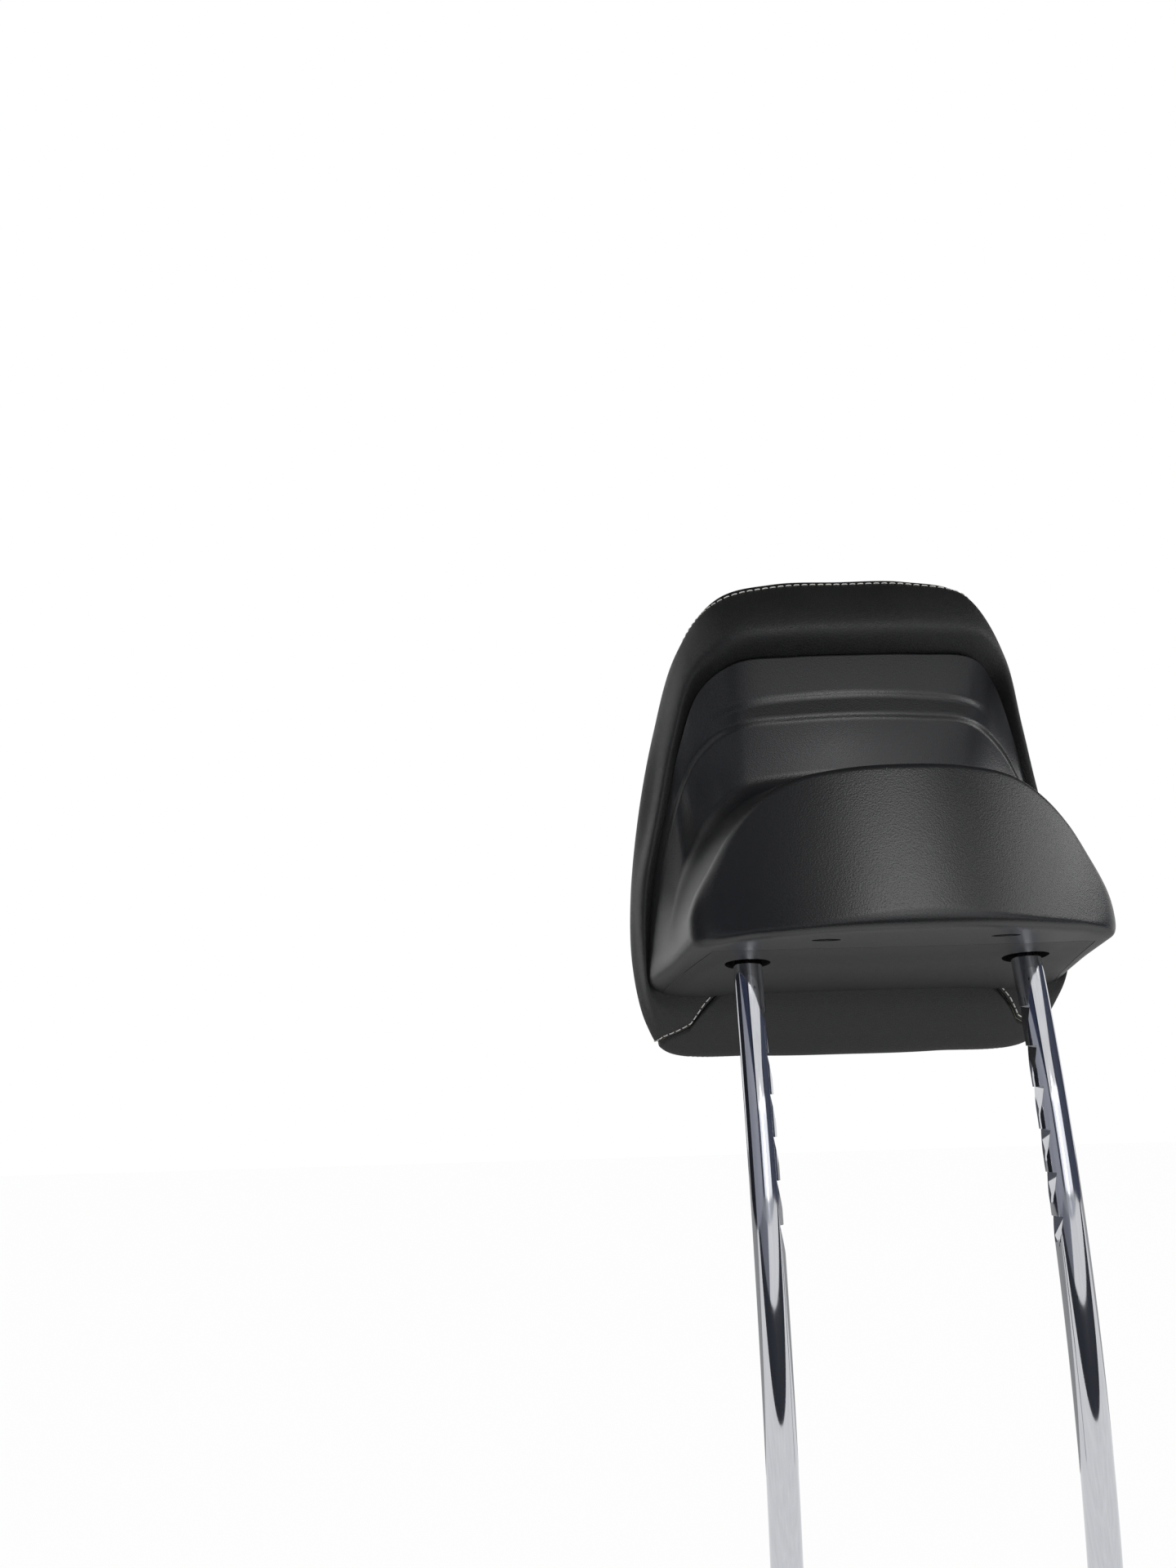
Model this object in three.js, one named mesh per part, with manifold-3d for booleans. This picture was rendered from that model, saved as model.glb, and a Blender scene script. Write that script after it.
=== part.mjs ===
// Car headrest: a leather cushion on a moulded carrier, closed at the back by a moulded shell,
// and held up by one steel bow with two notched posts.
// Millimetres. +X is right seen from behind, +Y points forwards to the head, +Z is up.
// The origin lies midway between the posts, level with the holes they come out of.

import * as THREE from 'three';
import Module from 'manifold-3d';

const wasm = await Module();
wasm.setup();

// Fits between neighbouring pieces
const GAP = 0.3;
const WELD = 0.001;

// Posts and bow
const POST_SPACING = 135.7;
const POST_DIAMETER = 14;
const POST_Y = 3;
const POST_EXPOSED = 265;
const POST_BOW_RADIUS = 832;
const POST_STRAIGHT_Z = -120;
const BOW_BEND_RADIUS = 30;
const BOW_TOP_Z = 72;
const BOW_SIDES = 16;
const POST_CHAMFER = 2.5;

// Height notches on the inner side of each post
const NOTCH_COUNT = 6;
const NOTCH_FIRST_Z = -23.8;
const NOTCH_PITCH = 18.65;
const NOTCH_DEPTH = 2.4;
const NOTCH_RAMP = 13;

// Rear shell
const SHELL_WALL = 2.5;
const FACE_Y = -72;
const FACE_LEAN = 0.18;
const FACE_FOOT_Z = 15;
const FACE_CROWN_RADIUS = 132;
const FACE_CENTRE_Z = 40;
const BACK_HOLLOW = 5;
const LOW_CREASE = [0.9, 0.9, 1, 1.6, 1.8, 1.2, 0.4];
const HIGH_CREASE = [0.9, 0.9, 0.8];
const CREASE_EDGE = 0.025;
const CREASE_END = 0.14;
const UNDERSIDE_SLOPE = 0.1265;
const UNDERSIDE_BOW = 0.00067;
const UNDERSIDE_Y = 6;

// Underside wall of the carrier, its holes and the latches
const PARTING_Y = -28;
const PLATE_HALF_WIDTH = 94.5;
const PLATE_FLARE = 0.19;
const HOLE_DIAMETER = 22;
const COLLAR_WALL = 2;
const COLLAR_HEIGHT = 9;
const LATCH_X = 40;
const LATCH_Y = -47;
const LATCH_SLOT_LENGTH = 13;
const LATCH_SLOT_WIDTH = 5;
const TONGUE_THICKNESS = 2;
const TONGUE_WIDTH = 18;

// Carrier
const CARRIER_WALL = 3;
const CARRIER_CENTRE = new THREE.Vector3(0, 52, 70);
const SADDLE_Z = 30;
const SADDLE_LENGTH = 18;
const SADDLE_WIDTH = 36;
const RIB_WALL = 3;
const CRADLE_WIDTH = 14;

// Saddle clamps and their screws
const CLAMP_WALL = 2;
const CLAMP_LENGTH = 14;
const SCREW_DIAMETER = 4;
const SCREW_LENGTH = 14;
const SCREW_HEAD_DIAMETER = 8;
const SCREW_HEAD_HEIGHT = 2.6;
const SCREW_SLOT_WIDTH = 1;
const SCREW_OFFSET = 13.5;

// Spring clips on the shell's blades
const BLADE_WIDTH = 8;
const BLADE_WALL = 1.6;
const CLIP_WALL = 0.6;
const CLIP_LENGTH = 7;
const CLIP_PLACES = [[45, 108], [88, 66]];

// Leather and foam
const LEATHER = 1.4;
const TUCK = 5;
const STRIP_WALL = 2;
const STRIP_WIDTH = 6;
const FACE_CENTRE = new THREE.Vector3(0, 127, 78);
const FACE_RING = 0.45;
const FACE_RING_BULGE = 9;

// Samples
const COLUMNS_PER_STATION = 2;
const FOAM_TUCK = 4;
const BAND_ROWS = 6;
const FACE_PANEL_ROWS = 8;
const SEAM_GAP = 0.04;

// Guide curves of the shell, right half from the top middle to the bottom middle.
// Each station gives x, z of the hump's edge, then the foot of its flank, then the edge against the leather,
// the size of the edge's rounding, and where the two creases of the upper back cross the way from foot to edge.
const SHELL_STATIONS = [
  { edge: [0, 81], foot: [0, 17, 92], border: [0, 1, 158], round: 3, low: 0.556, high: 0.727 },
  { edge: [29, 80.2], foot: [30, 19, 91.5], border: [34, 3, 158.4], round: 3, low: 0.55, high: 0.717 },
  { edge: [52, 76.5], foot: [57, 24, 88.5], border: [63, 8.5, 157.8], round: 3, low: 0.555, high: 0.703 },
  { edge: [67, 67.5], foot: [71, 27, 80], border: [80.5, 26.5, 149.5], round: 3, low: 0.59, high: 0.75 },
  { edge: [78.5, 55], foot: [83, 27, 66], border: [91, 37, 124], round: 3, low: 0.69, high: 0.82 },
  { edge: [87.5, 38.5], foot: [92, 24, 50], border: [99.8, 45.3, 88], round: 4, low: 0.77, high: 0.87 },
  { edge: [93.5, 26], foot: [97.5, 20, 34], border: [108.3, 49.5, 48], round: 6, low: 0.8, high: 0.9 },
  { edge: [95.5, 16], foot: [101, 17, 17], border: [111.8, 56, 14], round: 9, low: 0.7, high: 0.85 },
  { edge: [92.5, 6.5], foot: [99.5, 12, 2], border: [111, 62.5, -4], round: 11, low: 0.6, high: 0.8 },
  { edge: [73, 5], foot: [80, 6, 0], border: [99, 63, -9.6], round: 9.5, low: 0.55, high: 0.75, under: 1 },
  { edge: [38, 5], foot: [42, 6, 0], border: [50, 62.3, -9.5], round: 9, low: 0.55, high: 0.75, under: 1 },
  { edge: [0, 5], foot: [0, 6, 0], border: [0, 62, -9.4], round: 9, low: 0.55, high: 0.75, under: 1 },
];

// Guide curves of the cushion, the same way round.
// roll is the crest next to the shell, shoulder the line before the widest one, rim the edge of the front face.
const CUSHION_STATIONS = [
  { roll: [0, -8, 171], shoulder: [0, 20, 209], widest: [0, 58, 218], rim: [0, 98, 196] },
  { roll: [34, -6.5, 171], shoulder: [36, 20, 208.4], widest: [38, 58, 217], rim: [36, 97, 195] },
  { roll: [65, -1, 168.5], shoulder: [67, 19, 200], widest: [70, 56, 206.5], rim: [63, 93, 186] },
  { roll: [84.5, 18, 157], shoulder: [87.5, 33, 175], widest: [89.5, 60, 182], rim: [80, 94, 168] },
  { roll: [96, 33.5, 126], shoulder: [102, 46.5, 134], widest: [104, 66, 137], rim: [92, 103, 131] },
  { roll: [105, 44, 88], shoulder: [110.8, 58, 90], widest: [113.8, 74, 91], rim: [101, 113, 89] },
  { roll: [112.8, 48, 46], shoulder: [117.5, 62, 46], widest: [119.3, 80, 46], rim: [105.5, 119, 46] },
  { roll: [115, 55, 12], shoulder: [118.5, 69, 10], widest: [119.2, 87, 8], rim: [105, 120, 12] },
  { roll: [112.5, 64.5, -9], shoulder: [113.5, 78, -17.5], widest: [112, 96, -23], rim: [99.5, 119, -13.5] },
  { roll: [101, 69, -17], shoulder: [102.5, 85, -29.5], widest: [101, 103, -37.5], rim: [91, 120, -26] },
  { roll: [50, 70, -17], shoulder: [50, 85, -30], widest: [50, 104, -41], rim: [46, 122, -31] },
  { roll: [0, 70, -17], shoulder: [0, 85, -30.5], widest: [0, 104, -41.5], rim: [0, 122.5, -31.5] },
];

// Places along the cushion's profile, from the edge tucked behind the shell to the middle of the face
const MOUTH = 1;
const LIP = 2;
const ROLL = 3;
const SHOULDER = 4;
const RIM = 6;
const FACE_END = 8;

// Where the seam crosses each station: over the top it runs along the shoulder, down the sides along the rim,
// and at the lower corners back to the shell
const SEAM_PLACES = [SHOULDER, SHOULDER, 4.1, 5.3, 5.85, RIM, RIM, RIM, RIM, 3.9];
const SEAM_CORNER = [[9, 3.9], [9.5, 1.5], [10, 0]];

const HALF = SHELL_STATIONS.length - 1;
const COLUMNS = 2 * HALF * COLUMNS_PER_STATION;
const TURN = 2 * HALF;

const vec = (x, y, z) => new THREE.Vector3(x, y, z);
const mix = (a, b, t) => a.clone().lerp(b, t);
const between = (a, b, t) => a + (b - a) * t;

// Height of the underside below the level of the holes
function undersideZ(y) {
  const d = y - UNDERSIDE_Y;
  return -UNDERSIDE_SLOPE * d - UNDERSIDE_BOW * d * d;
}

// Rear face of the hump: it leans forwards and is crowned across its width
function faceY(x, z) {
  return FACE_Y + FACE_LEAN * (z - FACE_FOOT_Z) + (x * x) / (2 * FACE_CROWN_RADIUS);
}

// Closed smooth curve through half a list of points and its mirror image, read by station number
function loop(half) {
  const mirrored = half.slice(1, -1).reverse().map((p) => vec(-p.x, p.y, p.z));
  const curve = new THREE.CatmullRomCurve3([...half, ...mirrored], true, 'centripetal');
  return (u) => curve.getPoint((((u % TURN) + TURN) % TURN) / TURN);
}

// Smooth mirror-symmetric value by station number
function stationValue(values) {
  const curve = new THREE.CatmullRomCurve3(values.map((v, i) => vec(i, v, 0)), false, 'catmullrom', 0.3);
  return (u) => {
    const turned = ((u % TURN) + TURN) % TURN;
    const folded = turned <= HALF ? turned : TURN - turned;
    return curve.getPoint(folded / HALF).y;
  };
}

// Closed solid from triangles: corners are welded, empty triangles dropped and faces turned outwards
function solidOf(triangles) {
  const index = new Map();
  const corners = [];
  const faces = [];
  const place = (p) => {
    const key = [p.x, p.y, p.z].map((c) => Math.round(c / WELD)).join();
    if (!index.has(key)) {
      index.set(key, corners.length / 3);
      corners.push(p.x, p.y, p.z);
    }
    return index.get(key);
  };
  let volume = 0;
  for (const [a, b, c] of triangles) {
    const ids = [place(a), place(b), place(c)];
    if (new Set(ids).size < 3) continue;
    faces.push(ids);
    volume += a.dot(b.clone().cross(c));
  }
  const ordered = volume < 0 ? faces.map(([a, b, c]) => [a, c, b]) : faces;
  return new wasm.Manifold(new wasm.Mesh({
    numProp: 3,
    vertProperties: Float32Array.from(corners),
    triVerts: Uint32Array.from(ordered.flat()),
  }));
}

// Closed solid from a three.js geometry, moved by a matrix
function solidFrom(geometry, matrix = new THREE.Matrix4()) {
  const plain = geometry.index ? geometry.toNonIndexed() : geometry;
  plain.applyMatrix4(matrix);
  const position = plain.getAttribute('position');
  const triangles = [];
  for (let i = 0; i < position.count; i += 3) {
    triangles.push([0, 1, 2].map((k) => vec(...[0, 1, 2].map((axis) => position.getComponent(i + k, axis)))));
  }
  return solidOf(triangles);
}

// Two triangles for each cell between rows of points, split along its shorter diagonal;
// wrap joins the last column to the first, and flipped cells face the other way.
function cells(rows, wrap, flipped = false) {
  const triangles = [];
  for (let i = 0; i + 1 < rows.length; i += 1) {
    const columns = rows[i].length;
    for (let j = 0; j < (wrap ? columns : columns - 1); j += 1) {
      const k = (j + 1) % columns;
      const [a, b, c, d] = [rows[i][j], rows[i + 1][j], rows[i + 1][k], rows[i][k]];
      const short = a.distanceTo(c) < b.distanceTo(d) - WELD;
      triangles.push(...(short ? [[a, b, c], [a, c, d]] : [[b, c, d], [b, d, a]]));
    }
  }
  return flipped ? triangles.map(([a, b, c]) => [a, c, b]) : triangles;
}

// Unit normals of a grid of points, all on the side of the first argument's winding
function normals(rows, wrap) {
  return rows.map((row, i) => row.map((point, j) => {
    const columns = row.length;
    const left = wrap ? (j + columns - 1) % columns : Math.max(j - 1, 0);
    const right = wrap ? (j + 1) % columns : Math.min(j + 1, columns - 1);
    const across = row[right].clone().sub(row[left]);
    const down = rows[Math.min(i + 1, rows.length - 1)][j].clone().sub(rows[Math.max(i - 1, 0)][j]);
    if (across.length() < WELD) return null;
    return across.cross(down).normalize();
  })).map((row, i, all) => row.map((n) => n ?? poleNormal(all, i)));
}

// Mean normal of the row next to a pole
function poleNormal(all, i) {
  const near = all[i === 0 ? 1 : i - 1].filter((n) => n);
  return near.reduce((sum, n) => sum.add(n), vec(0, 0, 0)).normalize();
}

function offset(rows, wrap, distance) {
  const n = normals(rows, wrap);
  return rows.map((row, i) => row.map((point, j) => point.clone().addScaledVector(n[i][j], distance)));
}

// Sheet of even thickness from a grid; positive thickness grows to the normal's side
function sheet(rows, wrap, thickness) {
  return skinBetween(rows, offset(rows, wrap, thickness), wrap);
}

// Closed solid between two grids of the same size
function skinBetween(rows, other, wrap) {
  const end = rows.length - 1;
  const triangles = [
    ...cells(rows, wrap), ...cells(other, wrap, true),
    ...cells([other[0], rows[0]], wrap), ...cells([rows[end], other[end]], wrap),
  ];
  if (!wrap) {
    const edge = (grid, j) => grid.map((row) => row.at(j));
    triangles.push(...cells([edge(rows, 0), edge(other, 0)], false));
    triangles.push(...cells([edge(other, -1), edge(rows, -1)], false));
  }
  return solidOf(triangles);
}

const columnStations = Array.from({ length: COLUMNS }, (_, j) => (j * TURN) / COLUMNS);

// Rear shell's guide curves
const edgeLoop = loop(SHELL_STATIONS.map(({ edge: [x, z], under }) => {
  const y = faceY(x, z);
  return vec(x, y, under ? undersideZ(y) : z);
}));
const footLoop = loop(SHELL_STATIONS.map((s) => vec(...s.foot)));
const borderLoop = loop(SHELL_STATIONS.map((s) => vec(...s.border)));
const roundAt = stationValue(SHELL_STATIONS.map((s) => s.round));
const hollowAt = stationValue(SHELL_STATIONS.map((s, i) => (i < 5 ? 1 : 0)));
const lowAt = stationValue(SHELL_STATIONS.map((s) => s.low));
const highAt = stationValue(SHELL_STATIONS.map((s) => s.high));
const lowDepthAt = stationValue(SHELL_STATIONS.map((s, i) => LOW_CREASE[i] ?? 0));
const highDepthAt = stationValue(SHELL_STATIONS.map((s, i) => HIGH_CREASE[i] ?? 0));

const FACE_ROWS = [0, 0.35, 0.65, 0.85];
const CURVE_ROWS = [0.25, 0.5, 0.75, 1];

function rounding(a, corner, b, t) {
  return mix(mix(a, corner, t), mix(corner, b, t), t);
}

// One line of the shell's outer surface from the middle of the hump to the leather
function shellProfile(u) {
  const corner = edgeLoop(u);
  const foot = footLoop(u);
  const border = borderLoop(u);
  const round = roundAt(u);
  const wall = foot.clone().sub(corner).normalize();
  const centre = vec(0, 0, FACE_CENTRE_Z);
  const facePoint = (s) => {
    const x = corner.x * s;
    const z = centre.z + (corner.z - centre.z) * s;
    return vec(x, faceY(x, z), z);
  };
  const reach = Math.hypot(corner.x, corner.z - centre.z);
  const lastFace = 1 - round / reach;
  const points = FACE_ROWS.map((s) => facePoint(s * lastFace));
  const start = facePoint(lastFace);
  const cornerOnFace = facePoint(1);
  const after = cornerOnFace.clone().addScaledVector(wall, round);
  points.push(start);
  CURVE_ROWS.forEach((t) => points.push(rounding(start, cornerOnFace, after, t)));
  const low = lowAt(u);
  const high = highAt(u);
  const step = (t, at, end, depth) => depth * (t > at ? -((at + CREASE_EDGE - t) / (2 * CREASE_EDGE))
    : -(t - end) / (at - CREASE_EDGE - end));
  const back = (t) => {
    const point = mix(foot, border, t);
    const hollow = BACK_HOLLOW * 4 * t * (1 - t) * hollowAt(u);
    const crease = t < low + CREASE_EDGE ? step(t, low, CREASE_END, lowDepthAt(u))
      : t < high + CREASE_EDGE ? step(t, high, low + CREASE_EDGE, highDepthAt(u)) : 0;
    return point.add(vec(0, hollow + crease, 0));
  };
  const backRows = [CREASE_END, between(CREASE_END, low, 0.35), between(CREASE_END, low, 0.7), low - CREASE_EDGE,
    low + CREASE_EDGE, high - CREASE_EDGE, high + CREASE_EDGE, between(high, 1, 0.55), 1];
  const blend = Math.min(12, foot.distanceTo(corner) * 0.3);
  const before = foot.clone().addScaledVector(wall, -blend);
  const away = back(CREASE_END);
  points.push(mix(after, before, 0.5), before);
  CURVE_ROWS.slice(0, 3).forEach((t) => points.push(rounding(before, foot, away, t)));
  backRows.forEach((t) => points.push(back(t)));
  return points;
}

const shellLines = columnStations.map(shellProfile);
const shellRows = shellLines[0].map((_, i) => shellLines.map((line) => line[i]));
const shellNormals = normals(shellRows, true);
// The sign that makes the normals point out of the shell: the middle of the hump faces backwards
const OUT = Math.sign(-shellNormals[2][0].y);

// Height of a surface along Y over a point x, z
function surfaceY(rows, x, z) {
  for (const [a, b, c] of cells(rows, true)) {
    const area = (b.x - a.x) * (c.z - a.z) - (c.x - a.x) * (b.z - a.z);
    if (Math.abs(area) < WELD) continue;
    const s = ((x - a.x) * (c.z - a.z) - (c.x - a.x) * (z - a.z)) / area;
    const t = ((b.x - a.x) * (z - a.z) - (x - a.x) * (b.z - a.z)) / area;
    if (s >= 0 && t >= 0 && s + t <= 1) return a.y + s * (b.y - a.y) + t * (c.y - a.y);
  }
  throw new Error('no surface there');
}

// Direction out of the shell, and direction along it towards its edge, at the leather
const shellEdge = columnStations.map((_, j) => {
  const last = shellRows.length - 1;
  const out = shellNormals[last][j].clone().multiplyScalar(OUT);
  const along = shellRows[last][j].clone().sub(shellRows[last - 1][j]).normalize();
  return { point: shellRows[last][j], out, along };
});

// Points at a depth inside the shell's outer surface and a distance past its edge
function atEdge(depth, past) {
  return shellEdge.map(({ point, out, along }) => point.clone()
    .addScaledVector(out, -depth).addScaledVector(along, past));
}

const box = (x0, x1, y0, y1, z0, z1) => solidFrom(
  new THREE.BoxGeometry(x1 - x0, y1 - y0, z1 - z0),
  new THREE.Matrix4().makeTranslation((x0 + x1) / 2, (y0 + y1) / 2, (z0 + z1) / 2),
);

function extrude(shape, depth, matrix, segments = 12) {
  const geometry = new THREE.ExtrudeGeometry(shape, { depth, bevelEnabled: false, curveSegments: segments });
  return solidFrom(geometry, matrix);
}

function polygon(points) {
  return new THREE.Shape(points.map(([x, y]) => new THREE.Vector2(x, y)));
}

// Matrix whose local axes are the given world directions
function frameAt(origin, x, y, z) {
  return new THREE.Matrix4().makeBasis(x, y, z).setPosition(origin);
}

const X = vec(1, 0, 0);
const Y = vec(0, 1, 0);
const Z = vec(0, 0, 1);

// Posts: they stand bowed backwards and enter the shell square to its underside
function postY(z) {
  const held = Math.min(z, 0);
  const arc = (h) => ((h - POST_STRAIGHT_Z) ** 2) / (2 * POST_BOW_RADIUS);
  const slope = -POST_STRAIGHT_Z / POST_BOW_RADIUS;
  return POST_Y + arc(held) - arc(0) + slope * Math.max(z, 0);
}
const LEG_SLOPE = -POST_STRAIGHT_Z / POST_BOW_RADIUS;
const legUp = vec(0, LEG_SLOPE, 1).normalize();
const legForward = vec(0, 1, -LEG_SLOPE).normalize();
const POST_X = POST_SPACING / 2;

// Centre line of the bow from the lower end of the right post to that of the left one
class BowLine extends THREE.Curve {
  getPoint(t, target = new THREE.Vector3()) {
    const side = t < 0.5 ? 1 : -1;
    const bend = (Math.PI / 2) * BOW_BEND_RADIUS;
    const leg = POST_EXPOSED + BOW_TOP_Z - BOW_BEND_RADIUS;
    const bar = POST_X - BOW_BEND_RADIUS;
    const run = (1 - Math.abs(2 * t - 1)) * (leg + bend + bar);
    if (run <= leg) {
      const z = -POST_EXPOSED + run;
      return target.set(side * POST_X, postY(z), z);
    }
    const angle = Math.min((run - leg) / BOW_BEND_RADIUS, Math.PI / 2);
    const z = BOW_TOP_Z - BOW_BEND_RADIUS * (1 - Math.sin(angle));
    const straight = Math.max(run - leg - bend, 0);
    const x = bar + BOW_BEND_RADIUS * Math.cos(angle) - straight;
    return target.set(side * x, postY(z), z);
  }
}

function makePostBow() {
  const section = new THREE.Shape().absarc(0, 0, POST_DIAMETER / 2, 0, 2 * Math.PI);
  const geometry = new THREE.ExtrudeGeometry(section, {
    steps: 50, curveSegments: BOW_SIDES / 2, extrudePath: new BowLine(), bevelEnabled: false,
  });
  let bow = solidFrom(geometry);
  const radius = POST_DIAMETER / 2;
  const ring = [
    [radius - POST_CHAMFER, 0], [radius, POST_CHAMFER], [radius + 2, POST_CHAMFER],
    [radius + 2, -1], [radius - POST_CHAMFER, -1], [radius - POST_CHAMFER, 0],
  ].map(([r, h]) => new THREE.Vector2(r, h));
  for (const side of [1, -1]) {
    const end = vec(side * POST_X, postY(-POST_EXPOSED), -POST_EXPOSED);
    const up = vec(0, postY(-POST_EXPOSED + 1) - postY(-POST_EXPOSED), 1).normalize();
    const turn = frameAt(end, X, up.clone().cross(X), up).multiply(new THREE.Matrix4().makeRotationX(Math.PI / 2));
    bow = bow.subtract(solidFrom(new THREE.LatheGeometry(ring, BOW_SIDES), turn));
    for (let k = 0; k < NOTCH_COUNT; k += 1) {
      const z = NOTCH_FIRST_Z - k * NOTCH_PITCH;
      const outer = POST_X - radius - 1;
      const wedge = polygon([
        [side * outer, z], [side * (outer + 1 + NOTCH_DEPTH), z],
        [side * (outer + 1), z - NOTCH_RAMP], [side * outer, z - NOTCH_RAMP],
      ]);
      const place = frameAt(vec(0, postY(z) + POST_DIAMETER, 0), X, Z, vec(0, -1, 0));
      bow = bow.subtract(extrude(wedge, 2 * POST_DIAMETER, place));
    }
  }
  return bow;
}

// Zone of the skin that belongs to the carrier instead of the rear shell
function plateZone(margin) {
  const near = PLATE_HALF_WIDTH + PLATE_FLARE * (PARTING_Y - UNDERSIDE_Y) + margin;
  const far = PLATE_HALF_WIDTH + PLATE_FLARE * (80 - UNDERSIDE_Y) + margin;
  const outline = polygon([[-near, PARTING_Y - margin], [near, PARTING_Y - margin], [far, 80], [-far, 80]]);
  return extrude(outline, 44, new THREE.Matrix4().makeTranslation(0, 0, -34));
}

function ovalSlot(x, y, length, width, z0, z1) {
  const oval = new THREE.Shape();
  oval.absellipse(x, y, length / 2, width / 2, 0, 2 * Math.PI);
  return extrude(oval, z1 - z0, new THREE.Matrix4().makeTranslation(0, 0, z0), 10);
}

const skin = sheet(shellRows, true, -OUT * SHELL_WALL);

// Carrier's front wall: it starts at the rim behind the leather's edge strips and dishes forwards
const TUCK_DEPTH = SHELL_WALL + 3.5 * GAP;
const STRIP_DEPTH = TUCK_DEPTH + LEATHER + GAP;
const RIM_DEPTH = STRIP_DEPTH + STRIP_WALL + GAP;
const rimPoints = atEdge(RIM_DEPTH, -2);
const WALL_RINGS = [0, 0.18, 0.42, 0.7, 1];
const wallRows = WALL_RINGS.map((s) => rimPoints.map((rim) => {
  const point = mix(rim, CARRIER_CENTRE, s);
  return point.add(vec(0, 14 * s * (1 - s), 0));
}));
const wallNormals = normals(wallRows, true);
const FORWARD = Math.sign(wallNormals[2][0].y);

// Places of the spring clips, with the wall and shell surfaces there
const clipPlaces = CLIP_PLACES.flatMap(([x, z]) => [1, -1].map((side) => ({
  x: side * x, z, shell: surfaceY(shellRows, side * x, z), wall: surfaceY(wallRows, side * x, z),
})));

function makeRearShell() {
  let shell = skin.subtract(plateZone(GAP));
  for (const side of [1, -1]) {
    const y = LATCH_Y;
    shell = shell.subtract(ovalSlot(side * LATCH_X, y, LATCH_SLOT_LENGTH, LATCH_SLOT_WIDTH, -8, 12));
  }
  for (const { x, z, shell: from, wall } of clipPlaces) {
    const half = BLADE_WIDTH / 2;
    const tip = wall + CARRIER_WALL + 2;
    shell = shell.add(box(x - half, x + half, from + SHELL_WALL / 2, tip, z - BLADE_WALL / 2, z + BLADE_WALL / 2));
  }
  return shell;
}

// Tongue that reaches over the rear shell's flange, with a nib that shows in the slot
function latchTongue(side) {
  const rise = SHELL_WALL + GAP;
  const start = PARTING_Y + 8;
  const end = LATCH_Y - LATCH_SLOT_WIDTH / 2 - 2;
  const at = (y, h) => [y, undersideZ(y) + h];
  const profile = polygon([
    at(start, SHELL_WALL / 2), at(start, rise + TONGUE_THICKNESS), at(end, rise + TONGUE_THICKNESS), at(end, rise),
    at(PARTING_Y - 1, rise), at(PARTING_Y + 1, rise), at(PARTING_Y + 1, SHELL_WALL / 2),
  ]);
  const nib = polygon([at(LATCH_Y - 1.5, rise + 1), at(LATCH_Y - 1, rise - 1.6), at(LATCH_Y + 1, rise - 1.6),
    at(LATCH_Y + 1.5, rise + 1)]);
  const across = (shape, width) => extrude(shape, width, frameAt(vec(side * LATCH_X - width / 2, 0, 0), Y, Z, X));
  return across(profile, TONGUE_WIDTH).add(across(nib, LATCH_SLOT_LENGTH - LATCH_SLOT_WIDTH));
}

// Local frame of a post inside the shell: z along the post, y square to it towards the front
function legFrame(side) {
  const origin = vec(side * POST_X, postY(SADDLE_Z), SADDLE_Z);
  return frameAt(origin, X, legForward, legUp);
}

function circle(radius, length, matrix, sides = 24) {
  const geometry = new THREE.CylinderGeometry(radius, radius, length, sides);
  geometry.rotateX(Math.PI / 2);
  return solidFrom(geometry, matrix);
}

function makeCarrier() {
  let carrier = skin.intersect(plateZone(0));
  const seat = POST_DIAMETER / 2 + GAP;
  for (const side of [1, -1]) {
    const hole = vec(side * POST_X, postY(0), 0);
    const local = legFrame(side);
    const wallY = surfaceY(wallRows, side * POST_X, SADDLE_Z);
    const reach = wallY - postY(SADDLE_Z) + CARRIER_WALL / 2;
    const block = solidFrom(new THREE.BoxGeometry(SADDLE_WIDTH, reach - GAP, SADDLE_LENGTH),
      local.clone().multiply(new THREE.Matrix4().makeTranslation(0, (reach + GAP) / 2, 0)));
    const ribX = side * (POST_X + seat + COLLAR_WALL + RIB_WALL);
    const rib = box(ribX - RIB_WALL / 2, ribX + RIB_WALL / 2, 16, 50, undersideZ(30) + SHELL_WALL / 2 + 1.5, SADDLE_Z);
    const collar = circle(HOLE_DIAMETER / 2 + COLLAR_WALL, COLLAR_HEIGHT,
      frameAt(hole, X, legForward, legUp).multiply(new THREE.Matrix4().makeTranslation(0, 0, COLLAR_HEIGHT / 2 + 1)));
    carrier = carrier.add(collar).add(block).add(rib);
    carrier = carrier.add(latchTongue(side));
    carrier = carrier.subtract(circle(HOLE_DIAMETER / 2, 40, frameAt(hole, X, legForward, legUp), 32));
    carrier = carrier.subtract(circle(seat, SADDLE_LENGTH * 3, local));
    for (const screw of [1, -1]) {
      const pilot = new THREE.Matrix4().makeTranslation(screw * SCREW_OFFSET, SCREW_LENGTH / 2, 0);
      pilot.multiply(new THREE.Matrix4().makeRotationX(Math.PI / 2));
      const bore = circle(SCREW_DIAMETER / 2 + GAP, SCREW_LENGTH + 4, local.clone().multiply(pilot), 16);
      carrier = carrier.subtract(bore);
    }
  }
  const [middle, front] = [CARRIER_WALL / 2, SADDLE_WIDTH].map((d) => offset(wallRows, true, FORWARD * d));
  carrier = carrier.add(makeCradle()).subtract(skinBetween(front, middle, true));
  carrier = carrier.add(sheet(wallRows, true, FORWARD * CARRIER_WALL));
  for (const { x, z, wall } of clipPlaces) {
    const w = BLADE_WIDTH / 2 + CLIP_WALL + 2 * GAP;
    const h = BLADE_WALL / 2 + CLIP_WALL + 2 * GAP;
    carrier = carrier.subtract(box(x - w, x + w, wall - 12, wall + 14, z - h, z + h));
  }
  return carrier;
}

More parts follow.
